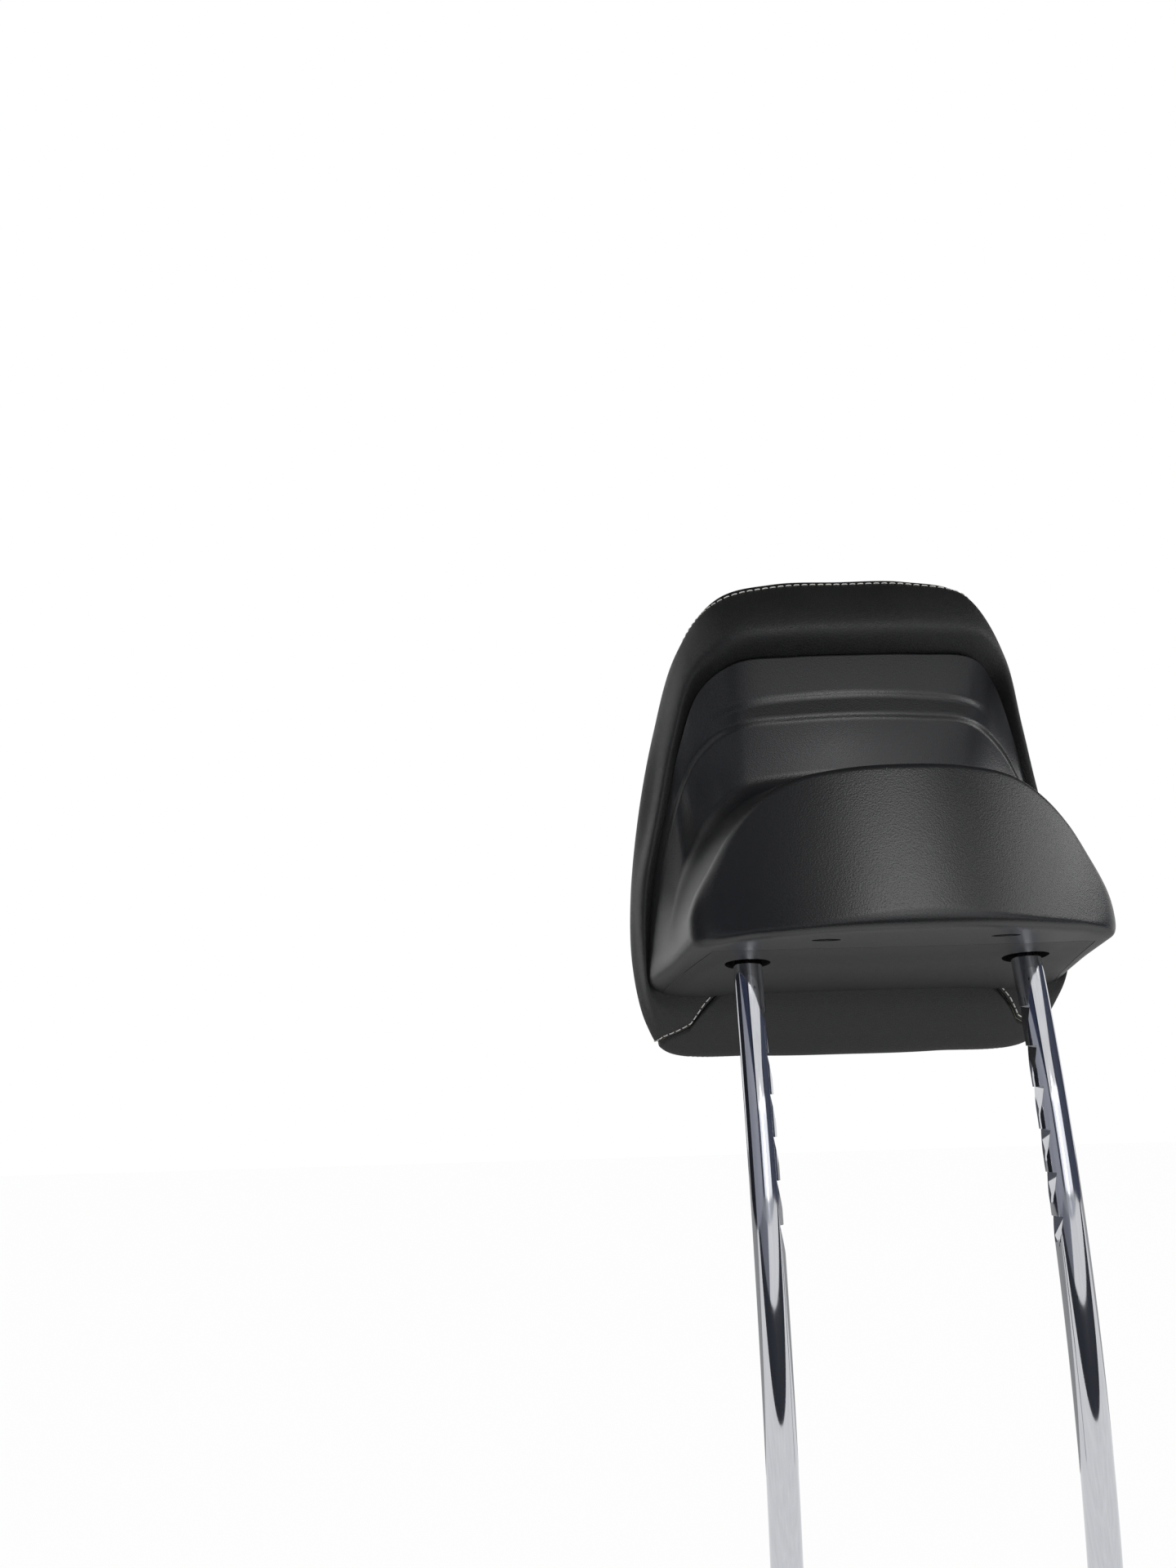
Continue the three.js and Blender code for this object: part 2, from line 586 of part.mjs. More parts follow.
// Cradle in the middle that the bow's cross bar lies in
function makeCradle() {
  const half = CRADLE_WIDTH / 2;
  const bar = vec(0, postY(BOW_TOP_Z), BOW_TOP_Z);
  const wallY = surfaceY(wallRows, 0, BOW_TOP_Z);
  const block = box(-half, half, bar.y + GAP, wallY + CARRIER_WALL / 2, BOW_TOP_Z - 12, BOW_TOP_Z + 12);
  const groove = circle(POST_DIAMETER / 2 + GAP, CRADLE_WIDTH * 2, frameAt(bar, Y, Z, X));
  return block.subtract(groove);
}

// Saddle over a post: a half-round strap with two flat feet
function makeClamp(side) {
  const inner = POST_DIAMETER / 2 + GAP;
  const outer = inner + CLAMP_WALL;
  const half = SADDLE_WIDTH / 2;
  const shape = new THREE.Shape();
  shape.moveTo(half, 0);
  shape.lineTo(half, -CLAMP_WALL);
  shape.lineTo(Math.sqrt(outer * outer - CLAMP_WALL * CLAMP_WALL), -CLAMP_WALL);
  shape.absarc(0, 0, outer, -Math.asin(CLAMP_WALL / outer), -Math.PI + Math.asin(CLAMP_WALL / outer), true);
  shape.lineTo(-half, -CLAMP_WALL);
  shape.lineTo(-half, 0);
  shape.lineTo(-inner, 0);
  shape.absarc(0, 0, inner, -Math.PI, 0, false);
  const local = legFrame(side);
  const along = local.clone().multiply(new THREE.Matrix4().makeTranslation(0, 0, -CLAMP_LENGTH / 2));
  let clamp = extrude(shape, CLAMP_LENGTH, along, 14);
  for (const screw of [1, -1]) {
    const turn = new THREE.Matrix4().makeTranslation(screw * SCREW_OFFSET, 0, 0);
    turn.multiply(new THREE.Matrix4().makeRotationX(Math.PI / 2));
    clamp = clamp.subtract(circle(SCREW_DIAMETER / 2 + GAP, 12, local.clone().multiply(turn), 16));
  }
  return clamp;
}

// Pan-head screw along local y, its head on the strap's foot, with a cross slot
function makeClampScrew(side, screw) {
  const r = SCREW_DIAMETER / 2;
  const head = SCREW_HEAD_DIAMETER / 2;
  const seat = -CLAMP_WALL - GAP;
  const tip = SCREW_LENGTH - 1;
  const outline = [[0, tip], [r * 0.4, tip], [r, tip - 2], [r, seat], [head, seat], [head, seat - 1.4],
    [head * 0.7, seat - SCREW_HEAD_HEIGHT], [0, seat - SCREW_HEAD_HEIGHT]];
  const lathe = new THREE.LatheGeometry(outline.map(([x, y]) => new THREE.Vector2(x, y)), 16);
  const place = legFrame(side).multiply(new THREE.Matrix4().makeTranslation(screw * SCREW_OFFSET, 0, 0));
  const slot = SCREW_SLOT_WIDTH / 2;
  const top = seat - SCREW_HEAD_HEIGHT;
  let body = solidFrom(lathe, place);
  for (const [w, l] of [[slot, head * 0.6], [head * 0.6, slot]]) {
    const cut = new THREE.BoxGeometry(2 * w, 3, 2 * l);
    body = body.subtract(solidFrom(cut, place.clone().multiply(new THREE.Matrix4().makeTranslation(0, top, 0))));
  }
  return body;
}

// Spring clip: a strip folded over the tip of a blade
function makeClip({ x, z, wall }) {
  const tip = wall + CARRIER_WALL + 2 + GAP;
  const inner = BLADE_WALL / 2 + GAP;
  const outer = inner + CLIP_WALL;
  const shape = polygon([
    [tip - CLIP_LENGTH, inner], [tip, inner], [tip, -inner], [tip - CLIP_LENGTH, -inner],
    [tip - CLIP_LENGTH, -outer], [tip + CLIP_WALL, -outer], [tip + CLIP_WALL, outer], [tip - CLIP_LENGTH, outer],
  ]);
  return extrude(shape, BLADE_WIDTH, frameAt(vec(x - BLADE_WIDTH / 2, 0, z), Y, Z, X));
}

// Cushion surface: j is the column, v the place along its profile
const tuckRow = atEdge(TUCK_DEPTH, -TUCK);
const mouthRow = atEdge(TUCK_DEPTH, -0.5);
const lipRow = atEdge(SHELL_WALL - 0.4, 1);
const loops = ['roll', 'shoulder', 'widest', 'rim'].map((key) => loop(CUSHION_STATIONS.map((s) => vec(...s[key]))));

const cushionLines = columnStations.map((u, j) => {
  const [roll, shoulder, widest, rim] = loops.map((curve) => curve(u));
  const ring = mix(rim, FACE_CENTRE, FACE_RING).add(vec(0, FACE_RING_BULGE * 0.5, 0));
  const keys = [tuckRow[j], mouthRow[j], lipRow[j], roll, shoulder, widest, rim, ring, FACE_CENTRE];
  const curve = new THREE.CatmullRomCurve3(keys, false, 'centripetal');
  return (v) => curve.getPoint(THREE.MathUtils.clamp(v / FACE_END, 0, 1));
});

const column = (j) => cushionLines[(j + COLUMNS) % COLUMNS];

// Direction out of the cushion; the middle of its face points forwards
function cushionNormal(j, v) {
  if (v > FACE_END - WELD) return Y.clone();
  const reach = 0.05;
  const across = column(j + 1)(v).sub(column(j - 1)(v));
  const down = column(j)(Math.min(v + reach, FACE_END)).sub(column(j)(Math.max(v - reach, 0)));
  return across.cross(down).normalize();
}

const steps = (n) => Array.from({ length: n + 1 }, (_, i) => i / n);
const seamCurve = new THREE.CatmullRomCurve3(SEAM_PLACES.map((v, i) => vec(i, v, 0)), false, 'catmullrom', 0.3);

// Place of the seam on a column; nothing of the band is left between the two lower corners
function seamPlace(j) {
  const u = columnStations[(j + COLUMNS) % COLUMNS];
  const folded = Math.min(u, TURN - u);
  const corner = SEAM_CORNER.findIndex(([station]) => station > folded + WELD);
  if (corner < 0) return 0;
  if (corner === 0) return seamCurve.getPoint(folded / (SEAM_PLACES.length - 1)).y;
  const [[u0, v0], [u1, v1]] = SEAM_CORNER.slice(corner - 1, corner + 1);
  return between(v0, v1, (folded - u0) / (u1 - u0));
}

const bandSteps = [0, MOUTH, LIP, ...steps(BAND_ROWS).slice(1)];
const bandPlaces = bandSteps.map((step, i) => (j, gap = 0) => {
  const end = Math.max(seamPlace(j) - gap, 0);
  return Math.min(end, i < 3 ? step : between(LIP, Math.max(end, LIP), step));
});
const faceSteps = steps(FACE_PANEL_ROWS).map((t) => between(SHOULDER, FACE_END, t));
const frontSteps = [0, MOUTH, LIP, ROLL, ...faceSteps];
const frontPlaces = frontSteps.map((step) => (j, gap = 0) => (
  Math.max(step, seamPlace(j) > 0 ? seamPlace(j) + gap : 0)));

// Grid of the cushion's surface at a depth below it
function cushionGrid(places, depth) {
  return places.map((place) => cushionLines.map((line, j) => {
    const v = place(j);
    return line(v).addScaledVector(cushionNormal(j, v), -depth);
  }));
}

// Front panel, grown on both sides by a clearance where it is used to cut
function makeFrontPanel(clear = 0) {
  const places = frontPlaces.map((place) => (j) => place(j, SEAM_GAP));
  return skinBetween(cushionGrid(places, -clear), cushionGrid(places, LEATHER + clear), true);
}

function makeBand(clear = 0) {
  const last = columnStations.findLastIndex((u, j) => u < HALF && seamPlace(j) > 0);
  const order = Array.from({ length: 2 * last + 1 }, (_, i) => (i - last + COLUMNS) % COLUMNS);
  const places = bandPlaces.map((place) => (j) => place(j, SEAM_GAP));
  const [outer, inner] = [-clear, LEATHER + clear].map((depth) => (
    cushionGrid(places, depth).map((row) => order.map((j) => row[j]))));
  return skinBetween(outer, inner, false);
}

function clearOfLeather(solid, clear) {
  const leathers = [0, clear].flatMap((growth) => [makeFrontPanel(growth), makeBand(growth)]);
  const cut = leathers.reduce((rest, leather) => rest.subtract(leather), solid);
  return cut.decompose().sort((a, b) => b.volume() - a.volume())[0];
}

function makeFoam() {
  const outer = [...bandPlaces, ...frontPlaces.slice(1)].map((place) => cushionLines.map((line, j) => {
    const tucked = place(j) < ROLL;
    const v = tucked ? ROLL : place(j);
    return line(v).addScaledVector(cushionNormal(j, v), -LEATHER - (tucked ? FOAM_TUCK : 2 * GAP));
  }));
  const inner = offset(wallRows, true, FORWARD * (CARRIER_WALL + GAP));
  const edge = inner[0].map((p, j) => p.clone().addScaledVector(wallRows[0][j].clone().sub(wallRows[1][j]).normalize(), 1));
  let foam = solidOf([...cells([edge, ...outer], true), ...cells([edge, ...inner], true, true)]);
  foam = clearOfLeather(foam, GAP);
  for (const { x, z, wall } of clipPlaces) {
    const w = BLADE_WIDTH / 2 + 2 * GAP;
    const h = BLADE_WALL / 2 + CLIP_WALL + 2 * GAP;
    foam = foam.subtract(box(x - w, x + w, wall, wall + CARRIER_WALL + 2 + CLIP_WALL + 3 * GAP, z - h, z + h));
  }
  return foam;
}

// Retaining strip along a run of stations, sewn on behind the leather's tucked edge
function makeStrip(from, to) {
  const rows = [-3 - STRIP_WIDTH, -3 - STRIP_WIDTH / 2, -3].map((past) => atEdge(STRIP_DEPTH, past));
  const first = Math.round((from / TURN) * COLUMNS);
  const last = Math.round((to / TURN) * COLUMNS);
  const order = Array.from({ length: last - first + 1 }, (_, i) => (first + i + COLUMNS) % COLUMNS);
  return sheet(rows.map((row) => order.map((j) => row[j])), false, -OUT * STRIP_WALL);
}

const PLASTIC = { color: 0x1b1c1e, roughness: 0.5, metalness: 0 };
const CARRIER_PLASTIC = { color: 0x222326, roughness: 0.6, metalness: 0 };
const LEATHER_BLACK = { color: 0x151517, roughness: 0.6, metalness: 0 };
const CHROME = { color: 0xd9dbde, roughness: 0.12, metalness: 1 };
const STEEL = { color: 0x9b9da0, roughness: 0.4, metalness: 1 };
const FOAM = { color: 0xd8cfae, roughness: 0.95, metalness: 0 };
const STRIP = { color: 0x3a3b3d, roughness: 0.6, metalness: 0 };

const headrest = new THREE.Group();
headrest.name = 'car_headrest';

function addPiece(name, solid, look) {
  const mesh = solid.getMesh();
  const geometry = new THREE.BufferGeometry();
  geometry.setAttribute('position', new THREE.BufferAttribute(new Float32Array(mesh.vertProperties), 3));
  geometry.setIndex(new THREE.BufferAttribute(new Uint32Array(mesh.triVerts), 1));
  geometry.computeVertexNormals();
  const piece = new THREE.Mesh(geometry, new THREE.MeshStandardMaterial(look));
  piece.name = name;
  headrest.add(piece);
}

addPiece('rear_shell', clearOfLeather(makeRearShell(), GAP / 2), PLASTIC);
addPiece('front_carrier', clearOfLeather(makeCarrier(), GAP / 2), CARRIER_PLASTIC);
addPiece('post_bow', makePostBow(), CHROME);
addPiece('clamp_right', makeClamp(1), STEEL);
addPiece('clamp_left', makeClamp(-1), STEEL);
[[1, 1], [1, -1], [-1, 1], [-1, -1]].forEach(([side, screw], i) => {
  addPiece(`clamp_screw_${i + 1}`, makeClampScrew(side, screw), STEEL);
});
clipPlaces.forEach((place, i) => addPiece(`shell_clip_${i + 1}`, makeClip(place), STEEL));
addPiece('foam_pad', makeFoam(), FOAM);
addPiece('cover_front_panel', makeFrontPanel(), LEATHER_BLACK);
addPiece('cover_band', makeBand(), LEATHER_BLACK);
addPiece('edge_strip_top', makeStrip(-1.8, 1.8), STRIP);
addPiece('edge_strip_right', makeStrip(2.6, 7.2), STRIP);
addPiece('edge_strip_left', makeStrip(TURN - 7.2, TURN - 2.6), STRIP);
addPiece('edge_strip_bottom', makeStrip(9.6, TURN - 9.6), STRIP);

export default headrest;
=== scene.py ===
# %% [markdown]
# # A car headrest
#
# This lesson dresses a imported model of a car headrest: a leather cushion, a moulded black shell with a hump
# at the back, and two chromed posts with notches. We start by loading the imported model.

import math

import bmesh
import bpy
import numpy as np
from mathutils import Matrix, Vector
from mathutils.kdtree import KDTree


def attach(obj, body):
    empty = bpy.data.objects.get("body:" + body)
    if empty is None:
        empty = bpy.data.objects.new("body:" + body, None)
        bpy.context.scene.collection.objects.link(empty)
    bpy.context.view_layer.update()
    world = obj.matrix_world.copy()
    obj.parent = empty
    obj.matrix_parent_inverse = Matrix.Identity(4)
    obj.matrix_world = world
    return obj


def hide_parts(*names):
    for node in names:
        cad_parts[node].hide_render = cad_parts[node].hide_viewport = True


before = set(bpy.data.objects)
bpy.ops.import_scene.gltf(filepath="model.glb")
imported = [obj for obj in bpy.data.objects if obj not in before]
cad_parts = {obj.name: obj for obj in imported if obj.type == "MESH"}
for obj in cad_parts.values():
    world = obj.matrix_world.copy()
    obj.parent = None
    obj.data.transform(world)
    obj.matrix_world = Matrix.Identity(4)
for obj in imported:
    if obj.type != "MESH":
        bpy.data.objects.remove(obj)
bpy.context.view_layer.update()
MM = 0.001
print("nodes:", len(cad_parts))

# %% [markdown]
# ## Guide curves
#
# The shell and the cushion are both lofts. We go round the outline by stations, from the top middle (0) over
# the right side to the bottom middle (11) and back up the left side (22). At each station a few points say
# where the profile runs. Smooth curves through these points give the shape between them, so a fine mesh and a
# coarse one follow the same form.

# %% Sizes of the housing, in millimetres
SHELL_WALL = 2.5
FACE_Y = -72.0
FACE_LEAN = 0.18
FACE_FOOT_Z = 15.0
FACE_CROWN_RADIUS = 132.0
FACE_CENTRE_Z = 40.0
BACK_HOLLOW = 5.0
HOLLOW_STATIONS = 5
LOW_CREASE = [1.5, 1.5, 1.5, 1.8, 1.8, 1.2, 0.4, 0, 0, 0, 0, 0]
HIGH_CREASE = [1.5, 1.5, 1.2, 0, 0, 0, 0, 0, 0, 0, 0, 0]
CREASE_HALF_WIDTH = [0.036, 0.036, 0.037, 0.042, 0.055, 0.06, 0.06, 0.06, 0.06, 0.06, 0.06, 0.06]
CREASE_END = 0.14
UNDERSIDE_SLOPE = 0.1265
UNDERSIDE_BOW = 0.00067
UNDERSIDE_Y = 6.0
GAP = 0.3
LEATHER = 1.4
TUCK = 5.0
TUCK_DEPTH = SHELL_WALL + 3.5 * GAP
HALF = 11
TURN = 22
print("shell wall:", SHELL_WALL, "leather:", LEATHER)

# %% Stations of the shell and the cushion
# hump's edge x, z; foot of its flank; border against the leather; size of the rounding; places of the low and
# the high crease on the way from foot to border; on the underside or not
SHELL_STATIONS = [
    ((0, 81), (0, 17, 92), (0, 1, 158), 3, 0.556, 0.727, 0),
    ((29, 80.2), (30, 19, 91.5), (34, 3, 158.4), 3, 0.55, 0.717, 0),
    ((52, 76.5), (57, 24, 88.5), (63, 8.5, 157.8), 3, 0.555, 0.703, 0),
    ((67, 67.5), (71, 27, 80), (80.5, 26.5, 149.5), 3, 0.59, 0.75, 0),
    ((78.5, 55), (83, 27, 66), (91, 37, 124), 3, 0.69, 0.82, 0),
    ((88.5, 38.5), (92.5, 24, 50), (99.8, 45.3, 88), 5, 0.77, 0.87, 0),
    ((95.5, 26), (98.5, 20, 34), (108.3, 49.5, 48), 8, 0.8, 0.9, 0),
    ((98, 16), (102.5, 17, 17), (111.8, 56, 14), 11, 0.7, 0.85, 0),
    ((95, 6), (102, 12, 1), (111, 62.5, -4), 12, 0.6, 0.8, 0),
    ((73, 5), (80, 6, 0), (99, 63, -9.6), 9.5, 0.55, 0.75, 1),
    ((38, 5), (42, 6, 0), (50, 62.3, -9.5), 9, 0.55, 0.75, 1),
    ((0, 5), (0, 6, 0), (0, 62, -9.4), 9, 0.55, 0.75, 1),
]
# crest next to the shell; shoulder; widest line; rim of the front face
CUSHION_STATIONS = [
    ((0, -8, 171), (0, 20, 209), (0, 58, 218), (0, 98, 196)),
    ((34, -6.5, 171), (36, 20, 208.4), (38, 58, 217), (36, 97, 195)),
    ((65, -1, 168.5), (67, 19, 200), (70, 56, 206.5), (63, 93, 186)),
    ((84.5, 18, 157), (87.5, 33, 175), (89.5, 60, 182), (80, 94, 168)),
    ((95, 33.5, 126), (99.8, 46.5, 134), (104, 66, 137), (92, 103, 131)),
    ((104, 44, 88), (108.3, 58, 90), (113.8, 74, 91), (101, 113, 89)),
    ((112.8, 48, 46), (117.5, 62, 46), (119.3, 80, 46), (105.5, 119, 46)),
    ((114, 55, 12), (117, 69, 10), (119.2, 87, 8), (105, 120, 12)),
    ((111, 64.5, -9), (111.5, 78, -17.5), (112, 96, -23), (99.5, 119, -13.5)),
    ((101, 69, -17), (102.5, 85, -29.5), (101, 103, -37.5), (91, 120, -26)),
    ((50, 70, -17), (50, 85, -30), (50, 104, -41), (46, 122, -31)),
    ((0, 70, -17), (0, 85, -30.5), (0, 104, -41.5), (0, 122.5, -31.5)),
]
FACE_CENTRE = np.array([0.0, 127.0, 78.0])
FACE_RING = 0.45
FACE_RING_BULGE = 9.0
LIP, ROLL, FACE_END = 2.0, 3.0, 8.0
SEAM_PLACES = [4, 4, 4.1, 5.3, 5.85, 6, 6, 6, 6, 4.2]
SEAM_CORNER = [(9, 4.2), (9.3, 3.6), (9.5, 2.4), (10, 0.0)]

COLUMNS_PER_STATION = 20
COLUMNS = TURN * COLUMNS_PER_STATION
STATIONS = np.arange(COLUMNS) / COLUMNS_PER_STATION
FOLDED = np.minimum(STATIONS, TURN - STATIONS)
print("columns round the outline:", COLUMNS)


# %% Smooth curves through points
SHORTEST_STEP = 1e-8
SHORTEST_VECTOR = 1e-12
CURVE_SLOPE = 0.3


def cubic(p1, p2, start, end, t):
    """Cubic from p1 to p2 with the given slopes at its two ends."""
    square = -3 * p1 + 3 * p2 - 2 * start - end
    cube = 2 * p1 - 2 * p2 + start + end
    return p1 + start * t + square * t**2 + cube * t**3


def hermite(p0, p1, p2, p3, t, steps):
    """Cubic between p1 and p2; steps are the three parameter distances between the points."""
    a, b, c = steps
    start = ((p1 - p0) / a - (p2 - p0) / (a + b) + (p2 - p1) / b) * b
    end = ((p2 - p1) / b - (p3 - p1) / (b + c) + (p3 - p2) / c) * b
    return cubic(p1, p2, start, end, t)


def distance(a, b):
    return np.linalg.norm(b - a, axis=-1, keepdims=True)


def through(keys, places):
    """Points on centripetal curves; keys is (K, N, 3), places is (M, N), the result is (M, N, 3)."""
    first, last = 2 * keys[:1] - keys[1:2], 2 * keys[-1:] - keys[-2:-1]
    padded = np.concatenate([first, keys, last])
    segment = np.clip(np.floor(places), 0, len(keys) - 2).astype(int)
    t = (places - segment)[..., None]
    column = np.arange(keys.shape[1])[None, :]
    p = [padded[segment + k, column] for k in range(4)]
    steps = [np.maximum(distance(p[k], p[k + 1]), SHORTEST_STEP) ** 0.5 for k in range(3)]
    return hermite(*p, t, steps)


def loop(half):
    """Closed curve through half an outline and its mirror image, at every column."""
    half = np.array(half, dtype=float)
    points = np.concatenate([half, half[-2:0:-1] * [-1, 1, 1]])
    segment = np.floor(STATIONS).astype(int)
    p = [points[(segment + k) % TURN] for k in (-1, 0, 1, 2)]
    steps = [distance(p[k], p[k + 1]) ** 0.5 for k in range(3)]
    return hermite(*p, (STATIONS - segment)[:, None], steps)


def value_at(values, place):
    """Smooth curve through values that stand at the places 0, 1, 2 and so on."""
    v = np.array([2 * values[0] - values[1], *values, 2 * values[-1] - values[-2]], dtype=float)
    segment = np.clip(np.floor(place), 0, len(values) - 2).astype(int)
    p0, p1, p2, p3 = (v[segment + k] for k in range(4))
    return cubic(p1, p2, CURVE_SLOPE * (p2 - p0), CURVE_SLOPE * (p3 - p1), place - segment)


def station_value(values):
    """Smooth value at every column that is the same on both sides."""
    return value_at(values, FOLDED / HALF * (len(values) - 1))


def unit(v):
    return v / np.maximum(np.linalg.norm(v, axis=-1, keepdims=True), SHORTEST_VECTOR)


def grid_normals(grid):
    """Normals of a grid whose columns run round; rows go along the profile."""
    across = np.roll(grid, -1, 1) - np.roll(grid, 1, 1)
    down = np.gradient(grid, axis=0)
    return unit(np.cross(across, down))


def smooth(low, high, x):
    t = np.clip((x - low) / (high - low), 0, 1)
    return t * t * (3 - 2 * t)


# %% [markdown]
# ## The shell's surface
#
# The rear shell is one black moulding. Its hump has a flat, leaning face that is crowned across its width, a
# rounded edge, flanks that run forwards, and a hollow upper back with two creases. We sample one profile for
# every column, from the middle of the face to the leather, and stack the profiles into a grid of points.

# %% Sample the shell's profiles
edge_xz = [s[0] for s in SHELL_STATIONS]
underside_z = lambda y: -UNDERSIDE_SLOPE * (y - UNDERSIDE_Y) - UNDERSIDE_BOW * (y - UNDERSIDE_Y) ** 2
face_y = lambda x, z: FACE_Y + FACE_LEAN * (z - FACE_FOOT_Z) + x**2 / (2 * FACE_CROWN_RADIUS)
edge_points = [(x, face_y(x, z), underside_z(face_y(x, z)) if s[6] else z)
               for (x, z), s in zip(edge_xz, SHELL_STATIONS)]
hump_edge = loop(edge_points)
flank_foot = loop([s[1] for s in SHELL_STATIONS])
border = loop([s[2] for s in SHELL_STATIONS])
round_size = station_value([s[3] for s in SHELL_STATIONS])[:, None]
hollow_share = station_value([1 if i < HOLLOW_STATIONS else 0 for i in range(len(SHELL_STATIONS))])
crease_places = [station_value([s[k] for s in SHELL_STATIONS]) for k in (4, 5)]
crease_depths = [station_value(depths) for depths in (LOW_CREASE, HIGH_CREASE)]
crease_half = station_value(CREASE_HALF_WIDTH)

FACE_ROWS = 30
ROUND_ROWS = 14
BACK_ROWS = 110
LONGEST_BLEND = 12
BLEND_SHARE = 0.3


def bend(a, corner, b, t):
    return (1 - t) ** 2 * a + 2 * t * (1 - t) * corner + t**2 * b


def face_point(share):
    x = hump_edge[:, 0] * share
    z = FACE_CENTRE_Z + (hump_edge[:, 2] - FACE_CENTRE_Z) * share
    return np.stack([x, face_y(x, z), z], axis=-1)


def back_point(t):
    point = flank_foot + (border - flank_foot) * t
    point[:, 1] += BACK_HOLLOW * 4 * t * (1 - t) * hollow_share
    start = CREASE_END
    for place, depth in zip(crease_places, crease_depths):
        rise = np.clip((t - start) / (place - crease_half - start), 0, 1)
        point[:, 1] -= depth * rise * (1 - smooth(place - crease_half, place + crease_half, t))
        start = place + crease_half
    return point


def shell_grid():
    wall = unit(flank_foot - hump_edge)
    reach = np.hypot(hump_edge[:, 0], hump_edge[:, 2] - FACE_CENTRE_Z)
    last_face = 1 - round_size[:, 0] / reach
    start, corner = face_point(last_face), face_point(1.0)
    after = corner + wall * round_size
    blend = np.minimum(LONGEST_BLEND, np.linalg.norm(flank_foot - hump_edge, axis=1) * BLEND_SHARE)[:, None]
    before, away = flank_foot - wall * blend, back_point(CREASE_END)
    rows = [face_point(last_face * s) for s in np.linspace(0, 1, FACE_ROWS)]
    rows += [bend(start, corner, after, t) for t in np.linspace(0, 1, ROUND_ROWS)[1:]]
    rows += [after + (before - after) * t for t in np.linspace(0, 1, ROUND_ROWS)[1:]]
    rows += [bend(before, flank_foot, away, t) for t in np.linspace(0, 1, ROUND_ROWS)[1:]]
    rows += [back_point(t) for t in np.linspace(CREASE_END, 1, BACK_ROWS)[1:]]
    return np.array(rows)


shell_surface = shell_grid()
shell_normals = grid_normals(shell_surface)
near_centre = 3
shell_normals *= np.sign(-shell_normals[near_centre, 0, 1])
shell_normals[0] = unit(shell_normals[1].mean(axis=0))
print("shell grid:", shell_surface.shape[:2])

# %% [markdown]
# ## Meshes from grids
#
# A grid of points becomes a mesh with one four-sided face for each cell. A second grid, a little deeper,
# gives the piece its thickness, and strips along the two ends join the two grids.

# %% Mesh helpers
SMOOTH_ANGLE = 40
MERGE_DISTANCE = 0.00001


def new_piece(name, verts, faces, smooth_angle=SMOOTH_ANGLE):
    mesh = bpy.data.meshes.new(name)
    mesh.from_pydata([tuple(v) for v in verts], [], faces)
    work = bmesh.new()
    work.from_mesh(mesh)
    bmesh.ops.remove_doubles(work, verts=work.verts, dist=MERGE_DISTANCE)
    bmesh.ops.recalc_face_normals(work, faces=work.faces)
    work.to_mesh(mesh)
    work.free()
    piece = bpy.data.objects.new(name, mesh)
    bpy.context.scene.collection.objects.link(piece)
    shade(piece, smooth_angle)
    return piece


def shade(piece, smooth_angle=SMOOTH_ANGLE):
    piece.data.shade_smooth()
    piece.data.set_sharp_from_angle(angle=math.radians(smooth_angle))


def skin(name, outer, inner, wrap=True):
    """Skin between two grids in millimetres; both have the same number of columns."""
    rows = np.concatenate([outer, inner[::-1]])
    count, columns = rows.shape[:2]
    faces = []
    for i in range(count):
        k = (i + 1) % count
        for j in range(columns if wrap else columns - 1):
            n = (j + 1) % columns
            faces.append((i * columns + j, k * columns + j, k * columns + n, i * columns + n))
    if not wrap:
        for j in (0, columns - 1):
            half = len(outer)
            for i in range(min(half, len(inner)) - 1):
                faces.append((i * columns + j, (i + 1) * columns + j,
                              (count - 2 - i) * columns + j, (count - 1 - i) * columns + j))
    return new_piece(name, rows.reshape(-1, 3) * MM, faces)


def cut(piece, tool, operation="DIFFERENCE"):
    """Boolean with a closed tool, which is removed afterwards."""
    step = piece.modifiers.new("cut", "BOOLEAN")
    step.operation, step.object, step.solver = operation, tool, "EXACT"
    with bpy.context.temp_override(object=piece, active_object=piece, selected_objects=[piece]):
        bpy.ops.object.modifier_apply(modifier=step.name)
    bpy.data.objects.remove(tool)


def prism(name, outline, low, high):
    """Upright prism over an outline of x, y points, in millimetres."""
    n = len(outline)
    verts = [(x * MM, y * MM, z * MM) for z in (low, high) for x, y in outline]
    faces = [tuple(range(n))[::-1], tuple(range(n, 2 * n))]
    faces += [(i, (i + 1) % n, n + (i + 1) % n, n + i) for i in range(n)]
    return new_piece(name, verts, faces)


ROD_SIDES = 64


def rod(name, start, end, radius):
    """Straight round rod between two points, in millimetres."""
    start, end = Vector(start) * MM, Vector(end) * MM
    work = bmesh.new()
    bmesh.ops.create_cone(work, cap_ends=True, segments=ROD_SIDES, radius1=radius * MM,
                          radius2=radius * MM, depth=(end - start).length)
    turn = (end - start).to_track_quat("Z", "Y").to_matrix().to_4x4()
    bmesh.ops.transform(work, matrix=Matrix.Translation((start + end) / 2) @ turn, verts=work.verts)
    mesh = bpy.data.meshes.new(name)
    work.to_mesh(mesh)
    work.free()
    piece = bpy.data.objects.new(name, mesh)
    bpy.context.scene.collection.objects.link(piece)
    return piece


# %% [markdown]
# ## The camera
#
# The photograph was taken with a short lens from behind and a little below, looking up by about 16 degrees.
# The place and the turn of the camera were worked out from the posts and the outline, so the camera here is
# set by its place and its three directions. The picture is higher than wide, so the sensor's long side stands
# upright.

